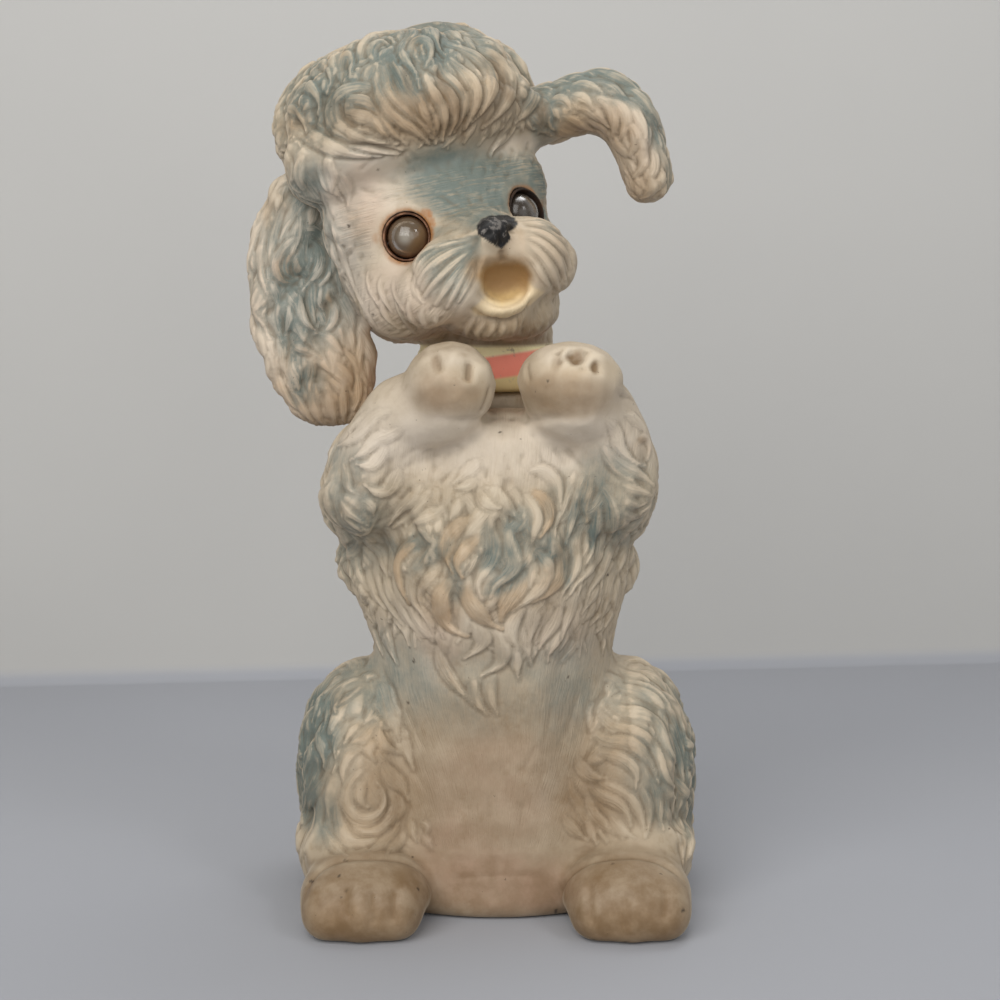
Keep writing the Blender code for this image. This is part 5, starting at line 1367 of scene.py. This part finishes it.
def blended(tree, amount, a, b, how="MIX"):
    return add(tree, "Mix", {"data_type": "RGBA", "blend_type": how}, i0=amount, i6=a, i7=b).outputs[2]


def noise(tree, place, scale, detail=4.0, rough=0.55, twist=0.0):
    return add(tree, "TexNoise", Vector=place, Scale=scale, Detail=detail, Roughness=rough,
               Distortion=twist).outputs[0]


def srgb(r, g, b):
    return tuple(((c / 255 + 0.055) / 1.055) ** 2.4 if c > 10 else c / 255 / 12.92 for c in (r, g, b)) + (1.0,)


def hues(look):
    return {name: srgb(*colour) for name, colour in look.items()}


def mottleGroup():                       # cloudy unevenness of old rubber, in two sizes
    tree, given, out = newGroup("rubberMottle", ["Place", "Colour", "Strength"], ["Colour", "Cloud"])
    cloud = noise(tree, given["Place"], 38, 5, 0.6)
    grain = noise(tree, given["Place"], 330, 3, 0.6)
    both = plus(tree, ramp(tree, cloud, 0.3, 0.7, -0.5, 0.5), ramp(tree, grain, 0.3, 0.7, -0.35, 0.35))
    amount = times(tree, both, given["Strength"])
    dark = blended(tree, ramp(tree, amount, 0.0, -0.6), given["Colour"], (0.72, 0.66, 0.58, 1), "MULTIPLY")
    light = blended(tree, ramp(tree, amount, 0.0, 0.6, 0.0, 0.3), dark, srgb(206, 192, 170))
    feed(tree, out, Colour=light, Cloud=cloud)
    return tree


def softTintGroup():                     # a tint soft at its edge and a little cloudy: sprayed paint, and the pale painted light
    tree, given, out = newGroup(
        "softTintLayer", ["Place", "Colour", "Tint", "Amount", "Worn", "Cloudy"], ["Colour", "Mask"])
    fine = noise(tree, given["Place"], 420, 4, 0.65)
    cloud = noise(tree, given["Place"], 75, 4, 0.6)
    rough = plus(tree, ramp(tree, fine, 0.3, 0.7, -0.3, 0.3), ramp(tree, cloud, 0.3, 0.7, -0.7, 0.7))
    unevenness = times(tree, given["Cloudy"], ramp(tree, given["Amount"], 0.0, 0.4))
    broken = plus(tree, given["Amount"], times(tree, rough, unevenness))
    mask = times(tree, minus(tree, broken, given["Worn"], True), 0.92)
    feed(tree, out, Colour=blended(tree, mask, given["Colour"], given["Tint"]), Mask=mask)
    return tree


def shadeAndGrimeGroup():                        # painted shade in the folds and hollows, brown patches of stains and painted shade, and specks
    tree, given, out = newGroup(
        "foldShadeAndGrime", ["Place", "Colour", "Fold", "Basin", "Brown", "Speck"], ["Colour", "Soil"])
    breakUp = noise(tree, given["Place"], 120, 4, 0.6)
    fold = times(tree, ramp(tree, given["Fold"], 0.02, 0.75), ramp(tree, breakUp, 0.2, 0.6, 0.55, 1.0))
    basin = ramp(tree, given["Basin"], 0.1, 0.9, 0.0, 0.25)
    hollowMask = larger(tree, fold, basin)
    # the folds and hollows darken: painted shade
    shadedInFolds = blended(tree, times(tree, hollowMask, 0.45), given["Colour"], srgb(106, 92, 72))
    brown = times(tree, given["Brown"], ramp(tree, breakUp, 0.25, 0.7, 0.6, 1.0))
    # brown patches: stains, and painted shade where they are laid in shade
    brownStainsAndShade = blended(tree, times(tree, brown, 0.92), shadedInFolds, srgb(114, 88, 57))
    tiny = noise(tree, given["Place"], 620, 2, 0.5)
    dots = larger(tree, ramp(tree, tiny, 0.745, 0.78, 0.0, 0.55), given["Speck"])
    feed(tree, out, Colour=blended(tree, dots, brownStainsAndShade, srgb(62, 50, 38)), Soil=hollowMask)
    return tree


def poreGroup():                         # fine moulded skin of the rubber, with faint brushed hair lines
    tree, given, out = newGroup("rubberPores", ["Place"], ["Height"])
    fine = noise(tree, given["Place"], 900, 3, 0.6)
    soft = noise(tree, given["Place"], 150, 3, 0.5)
    hair = add(tree, "Mapping", Vector=given["Place"], Scale=(1.0, 1.0, 0.22)).outputs[0]
    lines = noise(tree, hair, 520, 2, 0.5, 0.4)
    coarse = plus(tree, times(tree, soft, 0.8), times(tree, lines, 0.55))
    feed(tree, out, Height=plus(tree, times(tree, fine, 0.25), coarse))
    return tree


def patinaGroup():                       # rust or tarnish that gathers in clouds, for the small metal pieces
    tree, given, out = newGroup(
        "metalPatina", ["Place", "Metal", "Tarnish", "Cover", "Size"], ["Colour", "Mask", "Height"])
    cloud = noise(tree, given["Place"], given["Size"], 6, 0.65)
    edge = minus(tree, 1.0, given["Cover"])
    mask = ramp(tree, cloud, minus(tree, edge, 0.12), plus(tree, edge, 0.12))
    feed(tree, out, Colour=blended(tree, mask, given["Metal"], given["Tarnish"]), Mask=mask, Height=cloud)
    return tree


def strandGroup():                       # fine hairs that run along each moulded lock
    tree, given, out = newGroup("hairStrands", ["Lane", "Along", "Fur"], ["Height", "Shade"])
    lie = add(tree, "CombineXYZ", i0=given["Lane"], i1=times(tree, given["Along"], 0.09))
    hairs = noise(tree, lie.outputs[0], 1.5, 3, 0.6)
    strong = times(tree, minus(tree, hairs, 0.5), given["Fur"])
    feed(tree, out, Height=strong, Shade=strong)
    return tree


groups = {"mottle": mottleGroup(), "strands": strandGroup(), "softTint": softTintGroup(), "shadeAndGrime": shadeAndGrimeGroup(),
          "pores": poreGroup(), "patina": patinaGroup()}


def use(tree, groupName, **values):
    return add(tree, "Group", {"node_tree": groups[groupName]}, **values).outputs


def newMaterial(name, **plain):
    material = bpy.data.materials.new(name)
    material.use_nodes = True
    tree = material.node_tree
    return material, tree, feed(tree, tree.nodes["Principled BSDF"], **plain)


def restPlace(tree):
    return tree.nodes.new("ShaderNodeTexCoord").outputs["Object"]


def bumped(tree, shader, height, strength, distance):
    bump = add(tree, "Bump", Strength=strength, Distance=distance, Height=height)
    feed(tree, shader, Normal=bump.outputs[0])


# The aged rubber of both mouldings

# Of these, the pale cream also stands for painted light, the ridge cream is a painted highlight with rubbed
# wear, and the dark rust also paints the shadow at the top of each eye socket
rubberColours = {
    "cream": (186, 170, 146), "ridgeHighlight": (206, 192, 169), "pale": (216, 203, 186), "blue": (100, 113, 108),
    "tan": (178, 148, 112), "pink": (184, 152, 130), "rust": (160, 106, 52), "darkRustAndShadow": (84, 54, 34),
    "noseBlack": (22, 20, 20), "noseWorn": (150, 143, 136), "lip": (222, 200, 162), "mouthDeep": (152, 116, 68),
    "mouthGold": (246, 214, 150), "collar": (255, 150, 128), "collarTrim": (252, 238, 190),
    "collarEdge": (230, 206, 150),
}
rubberLook = {                          # heights in millimetres; the collar's stripes drop this much a metre
    "roughness": 0.56, "mouthRise": (199.0, 190.5), "collarDrop": 130.0, "collarLower": (169.4, 168.2),
    "collarUpper": (175.2, 176.4),
}


def rubberMaterial(name, hue, look):
    material, tree, shader = newMaterial(name, IOR=1.45, Subsurface_Weight=0.0)
    place = restPlace(tree)

    def layer(groupName):
        node = add(tree, "Attribute", {"attribute_name": groupName})
        parts = add(tree, "SeparateColor", Color=node.outputs["Color"]).outputs
        return parts[0], parts[1], parts[2], node.outputs["Alpha"]

    blue, tan, pink, rust = layer("softTint")
    valley, basin, brown, speck = layer("ageAndShade")
    nose, lip, mouth, collar = layer("trim")
    lane, along, fur, pale = layer("strand")
    hairs = use(tree, "strands", Lane=lane, Along=along, Fur=fur)
    ridge = ramp(tree, valley, -0.1, -0.7)
    fold = ramp(tree, valley, 0.05, 0.8)
    base = use(tree, "mottle", Place=place, Colour=hue["cream"], Strength=0.55)
    # the lock ridges get lighter cream: rubbed wear with a painted highlight
    colour = blended(tree, times(tree, ridge, 0.55), base["Colour"], hue["ridgeHighlight"])
    worn = times(tree, ridge, 0.4)
    blue = times(tree, blue, plus(tree, times(tree, hairs["Shade"], 1.6), 1.0))
    # the pale layer is partly painted light: lit tops, and lightening where shade falls
    for amount, tint, wornBy, cloudy in (
            (pale, "pale", 0.0, 0.2), (pink, "pink", 0.0, 0.2),
            (tan, "tan", 0.0, 0.25), (blue, "blue", worn, 0.25)):
        colour = use(tree, "softTint", Place=place, Colour=colour, Tint=hue[tint], Amount=amount, Worn=wornBy,
                     Cloudy=cloudy)["Colour"]
    # painted shade in the folds and hollows, brown patches and specks
    shadeAndGrime = use(tree, "shadeAndGrime", Place=place, Colour=colour, Fold=valley, Basin=basin, Brown=brown, Speck=speck)
    colour = blended(tree, ramp(tree, hairs["Shade"], 0.0, -0.35, 0.0, 0.5), shadeAndGrime["Colour"],
                     (0.70, 0.64, 0.56, 1), "MULTIPLY")
    # the darkest rust, at the top of each socket, is also painted shadow under the brow
    rustAndShadow = blended(tree, ramp(tree, rust, 0.8, 1.0), hue["rust"], hue["darkRustAndShadow"])
    rustMask = use(tree, "softTint", Place=place, Colour=colour, Tint=rustAndShadow, Amount=rust, Worn=0.0, Cloudy=0.5)
    colour = rustMask["Colour"]
    rise = times(tree, add(tree, "SeparateXYZ", Vector=place).outputs[2], 1000.0)
    # the lip darkens in its folds: painted shade
    lipColour = blended(tree, times(tree, fold, 0.4), hue["lip"], hue["mouthDeep"])
    colour = blended(tree, times(tree, lip, 0.9), colour, lipColour)
    # Inside the mouth: dark brown at the top to gold at the bottom, the mouth's paint and paler tongue, with
    # painted shade under the upper lip
    depth = plus(tree, rise, ramp(tree, noise(tree, place, 120, 3), 0.3, 0.7, -1.2, 1.2))
    mouthColour = blended(tree, ramp(tree, depth, *look["mouthRise"]), hue["mouthDeep"], hue["mouthGold"])
    colour = blended(tree, times(tree, mouth, 0.9), colour, mouthColour)
    slope = times(tree, add(tree, "SeparateXYZ", Vector=place).outputs[0], look["collarDrop"])
    band = minus(tree, rise, slope)
    chipped = ramp(tree, noise(tree, place, 210, 4), 0.33, 0.43)
    lowTrim = blended(tree, ramp(tree, band, *look["collarLower"]), hue["collar"], hue["collarEdge"])
    collarColour = blended(tree, ramp(tree, band, *look["collarUpper"]), lowTrim, hue["collarTrim"])
    colour = blended(tree, times(tree, collar, chipped), colour, collarColour)
    rubbed = times(tree, ridge, ramp(tree, noise(tree, place, 400, 3), 0.5, 0.62))
    wear = larger(tree, ramp(tree, noise(tree, place, 260, 5, 0.7), 0.6, 0.68), rubbed)
    noseColour = blended(tree, times(tree, wear, 0.6), hue["noseBlack"], hue["noseWorn"])
    colour = blended(tree, nose, colour, noseColour)
    feed(tree, shader, Base_Color=colour)
    dull = plus(tree, look["roughness"], times(tree, shadeAndGrime["Soil"], 0.22))
    uneven = plus(tree, dull, ramp(tree, base["Cloud"], 0.3, 0.7, -0.06, 0.06))
    glossy = larger(tree, times(tree, nose, 0.06), times(tree, lip, 0.12))
    feed(tree, shader, Roughness=minus(tree, uneven, glossy))
    skinHeight = plus(tree, use(tree, "pores", Place=place)["Height"], times(tree, hairs["Height"], 2.8))
    bumped(tree, shader, skinHeight, 0.4, 0.0004)
    return material


rubber = rubberMaterial("agedRubber", hues(rubberColours), rubberLook)
for piece, node, body in ((bodyRubber, "body_shell", "body"), (headRubber, "head_shell", "head")):
    piece.data.materials.clear()
    piece.data.materials.append(rubber)
    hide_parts(node)
    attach(piece, body)
print("rubber shells dressed")


# Sleep eyes and squeaker keep their CAD shapes and get worn finishes

def patinaMaterial(name, metal, tarnish, cover, size, rough, metallic, bump=0.0001):
    material, tree, shader = newMaterial(name)
    place = restPlace(tree)
    coat = use(tree, "patina", Place=place, Metal=srgb(*metal), Tarnish=srgb(*tarnish), Cover=cover, Size=size)
    dull = ramp(tree, coat["Mask"], 0, 1, rough, min(rough + 0.35, 1))
    feed(tree, shader, Base_Color=coat["Colour"], Roughness=dull,
         Metallic=ramp(tree, coat["Mask"], 0, 1, metallic, metallic * 0.2))
    bumped(tree, shader, coat["Height"], 0.5, bump)
    return material


def inEyeNodes(tree, side):
    spot = eyes[side]
    rel = add(tree, "VectorMath", {"operation": "SUBTRACT"}, i0=restPlace(tree),
              i1=tuple(c / 1000 for c in spot["at"])).outputs[0]
    across, rise = (add(tree, "VectorMath", {"operation": "DOT_PRODUCT"}, i0=rel,
                        i1=tuple(c * 1000 for c in spot[k])).outputs["Value"] for k in ("axle", "up"))
    return across, rise, length(tree, across, rise)


# The left eye's colours are darker copies of the right eye's: painted shade
irisLook = {
    "right": {"milk": (176, 170, 158), "amber": (142, 112, 76), "brown": (112, 96, 78), "rim": (104, 70, 44)},
    "left": {"milk": (92, 86, 78), "amber": (84, 68, 50), "brown": (66, 58, 50), "rim": (44, 32, 24)},
}
domeHaze = {"right": (0.03, 0.16), "left": (0.16, 0.36)}      # roughness of the clear and of the scuffed places


def irisMaterial(side):
    material, tree, shader = newMaterial(side + "IrisPrint", Roughness=0.45)
    across, rise, radial = inEyeNodes(tree, side)
    place = restPlace(tree)
    polar = add(tree, "CombineXYZ", i0=math(tree, "ARCTAN2", rise, across), i1=times(tree, radial, 0.05))
    rays = noise(tree, polar.outputs[0], 5.0, 4)
    hue = hues(irisLook[side])
    ring = blended(tree, ramp(tree, rays, 0.35, 0.65), hue["brown"], hue["amber"])
    lower = blended(tree, ramp(tree, rise, 0.5, -5.0, 0.0, 0.6), ring, hue["amber"])
    middle = length(tree, across, minus(tree, rise, 0.3))
    milky = blended(tree, ramp(tree, middle, 3.0, 0.4, 0.0, 0.85), lower, hue["milk"])
    edged = blended(tree, ramp(tree, radial, 5.2, 5.5), milky, hue["rim"])
    dust = ramp(tree, noise(tree, place, 900, 4), 0.5, 0.75, 0.0, 0.3)
    dusty = blended(tree, dust, edged, srgb(150, 134, 112))
    feed(tree, shader, Base_Color=dusty)
    bumped(tree, shader, rays, 0.1, 0.0001)
    return material


def lidMaterial(side):
    material, tree, shader = newMaterial(side + "LidEnamel", Coat_Weight=0.3)
    _, _, radial = inEyeNodes(tree, side)
    place = restPlace(tree)
    coat = use(tree, "patina", Place=place, Metal=srgb(158, 122, 96), Tarnish=srgb(104, 66, 42), Cover=0.4,
               Size=420)
    worn = times(tree, ramp(tree, radial, 6.1, 6.7), ramp(tree, noise(tree, place, 800, 3), 0.4, 0.6))
    colour = blended(tree, worn, coat["Colour"], srgb(96, 64, 42))
    feed(tree, shader, Base_Color=colour, Roughness=ramp(tree, coat["Mask"], 0, 1, 0.38, 0.75))
    bumped(tree, shader, coat["Height"], 0.4, 0.0001)
    return material


def domeMaterial(side):
    material, tree, shader = newMaterial(side + "ClearDome", IOR=1.47, Transmission_Weight=0.3, Roughness=0.1)
    across, rise, radial = inEyeNodes(tree, side)
    scuffs = noise(tree, restPlace(tree), 700, 4, 0.7)
    hue = hues(irisLook[side])
    milky = blended(tree, ramp(tree, radial, 3.4, 0.4, 0.0, 0.85), hue["brown"], hue["milk"])
    lowerOuter = plus(tree, across, times(tree, rise, -1.0))
    amber = blended(tree, ramp(tree, lowerOuter, 1.0, 6.0, 0.0, 0.6), milky, hue["amber"])
    aged = blended(tree, ramp(tree, radial, 5.3, 6.2), amber, hue["rim"])
    feed(tree, shader, Base_Color=aged, Roughness=ramp(tree, scuffs, 0.35, 0.7, *domeHaze[side]))
    bumped(tree, shader, scuffs, 0.1, 0.0001)
    return material


# The printed disc and the clear dome are rebuilt a little wider, so that the tin socket shows as a thin ring

eyeShape = {"dome": 6.6, "domeLow": 2.1, "under": 2.76, "inside": 6.04,
            "disc": 6.0, "discLow": 2.45, "discHigh": 2.72}


def domeOutline(shape):
    heights = np.linspace(shape["domeLow"], shape["dome"], 25)[:-1]
    outside = [(float(np.sqrt(shape["dome"] ** 2 - h ** 2)), float(h)) for h in heights]
    inside = [(0, shape["under"]), (shape["inside"], shape["under"]), (shape["inside"], shape["domeLow"])]
    return inside + outside + [(0, shape["dome"])]


def discOutline(shape):
    low, high = shape["discLow"], shape["discHigh"]
    return [(0, low), (shape["disc"], low), (shape["disc"], high), (0, high)]


def rebuilt(name, outline, side, node, material):
    piece = lathed(outline, eyePlace(side), 96)
    piece.name = piece.data.name = name
    piece.data.materials.append(material)
    piece.data.shade_smooth()
    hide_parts(node)
    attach(piece, side + "_eye")


def dress(node, material):
    piece = bpy.data.objects[node]
    for slot in piece.material_slots:
        slot.material = material


finishLooks = {                         # metal, tarnish, cover, size, roughness, metallic and bump
    # the left tin is a darker copy of the right tin: painted shade
    "rustedTinRight": ((136, 94, 64), (76, 48, 30), 0.5, 260, 0.5, 0.1),
    "rustedTinLeft": ((58, 40, 28), (34, 24, 16), 0.5, 260, 0.5, 0.1),
    "drawnWire": ((150, 146, 140), (92, 58, 36), 0.4, 500, 0.35, 1.0),
    "castLead": ((112, 112, 116), (150, 150, 148), 0.45, 320, 0.55, 0.9, 0.0002),
    "pressedSheet": ((176, 176, 172), (120, 116, 108), 0.42, 180, 0.32, 1.0),
    "rolledBrass": ((196, 156, 84), (110, 78, 38), 0.4, 260, 0.3, 1.0),
}
finishes = {name: patinaMaterial(name, *look) for name, look in finishLooks.items()}
for side in eyes:
    dress(side + "_eye_cup", finishes["rustedTin" + side.title()])
    dress(side + "_eyeball", lidMaterial(side))
    rebuilt(side + "IrisPrint", discOutline(eyeShape), side, side + "_iris_disc",
            irisMaterial(side))
    rebuilt(side + "ClearDome", domeOutline(eyeShape), side, side + "_eye_lens",
            domeMaterial(side))
    dress(side + "_eye_axle", finishes["drawnWire"])
    dress(side + "_weight_wire", finishes["drawnWire"])
    dress(side + "_eye_weight", finishes["castLead"])
for node, finish in (
        ("squeaker_cup", "pressedSheet"), ("squeaker_cap", "pressedSheet"), ("reed_plate", "pressedSheet"),
        ("reed", "rolledBrass"), ("reed_rivet", "rolledBrass")):
    dress(node, finishes[finish])
print("small pieces dressed")


# Floor and backdrop in one sheet, soft studio light, and the photograph's camera

studio = {
    "wall": (195, 194, 191), "table": (164, 166, 172), "wallFrom": 338, "wallSkew": 0.114, "wallTop": 1300,
    "sweep": 8, "tableFrom": -900, "halfWidth": 1.6,
    "worldColour": (0.80, 0.80, 0.80, 1), "worldStrength": 0.28, "worldSeen": 0.55,
}
lamps = {                               # watts, size, place and aim in metres, colour
    "keyLamp": (10.0, 0.9, (-0.38, -0.85, 0.72), (0, 0, 0.15), (1.0, 0.985, 0.96)),
    "fillLamp": (3.6, 0.9, (0.6, -0.95, 0.3), (0, 0, 0.12), (1, 1, 1)),
    "windowLamp": (1.0, 0.18, (0.55, -0.62, 0.75), (0, 0, 0.2), (1, 1, 1)),
    "backLamp": (0.9, 0.4, (0.2, 0.29, 0.75), (0, 0, 0.12), (1, 1, 1)),
    "topLamp": (1.6, 0.6, (0.05, 0.12, 1.0), (0, 0, 0.1), (1, 1, 1)),
}


def stageSheet():
    sweep, wide = studio["sweep"], studio["halfWidth"]
    corner = studio["wallFrom"] - sweep
    path = [(studio["tableFrom"], 0), (corner, 0)]
    for k in range(1, 13):
        a = k / 12 * pi / 2
        path.append((corner + sweep * sin(a), sweep * (1 - cos(a))))
    path.append((studio["wallFrom"], studio["wallTop"]))

    def build(bm):
        rows = [[bm.verts.new((side * wide, py / 1000 + side * wide * studio["wallSkew"] * (py > 0), pz / 1000))
                 for side in (-1, 1)] for py, pz in path]
        for low, high in zip(rows, rows[1:]):
            bm.faces.new((low[0], low[1], high[1], high[0]))
    sheet = linked("studioSheet", meshOf("studioSheet", build))
    sheet.data.shade_smooth()
    material, tree, shader = newMaterial("studioPaper", Roughness=0.9, Specular_IOR_Level=0.2)
    place = restPlace(tree)
    rise = add(tree, "SeparateXYZ", Vector=place).outputs[2]
    pale = blended(tree, ramp(tree, rise, 0.002, 0.009), srgb(*studio["table"]), srgb(*studio["wall"]))
    cloud = blended(tree, ramp(tree, noise(tree, place, 6, 3), 0.35, 0.65, 0.0, 0.06), pale, (0.4, 0.4, 0.4, 1))
    feed(tree, shader, Base_Color=cloud)
    bumped(tree, shader, noise(tree, place, 700, 2), 0.05, 0.0003)
    # a camera behind the wall looks through it
    behind = times(tree, add(tree, "NewGeometry").outputs["Backfacing"],
                   add(tree, "LightPath").outputs["Is Camera Ray"])
    mixed = add(tree, "MixShader", i0=behind, i1=shader.outputs[0], i2=add(tree, "BsdfTransparent").outputs[0])
    feed(tree, tree.nodes["Material Output"], Surface=mixed.outputs[0])
    sheet.data.materials.append(material)


stageSheet()
for name, (watts, size, at, aim, colour) in lamps.items():
    lamp = bpy.data.lights.new(name, "AREA")
    lamp.energy, lamp.size, lamp.color = watts, size, colour
    holder = linked(name, lamp)
    holder.location = at
    holder.rotation_euler = (Vector(aim) - Vector(at)).to_track_quat("-Z", "Y").to_euler()
scene.world = bpy.data.worlds.new("studioAir")
scene.world.use_nodes = True
air = scene.world.node_tree
ray = add(air, "LightPath").outputs
seenDirectly = plus(air, ray["Is Camera Ray"], ray["Is Transmission Ray"], True)
extra = times(air, seenDirectly, studio["worldSeen"] - studio["worldStrength"])
strength = plus(air, extra, studio["worldStrength"])
feed(air, air.nodes["Background"], Color=studio["worldColour"], Strength=strength)
camera = bpy.data.cameras.new("photoCamera")
camera.lens, camera.sensor_width, camera.clip_start = (photoView[k] for k in ("lens", "sensor", "near"))
scene.camera = linked("photoCamera", camera)
scene.camera.location = Vector(photoView["eye"]) / 1000
scene.camera.rotation_euler = (radians(90 - photoView["downTilt"]), 0, 0)
scene.view_settings.view_transform = "Standard"

print("finishing")
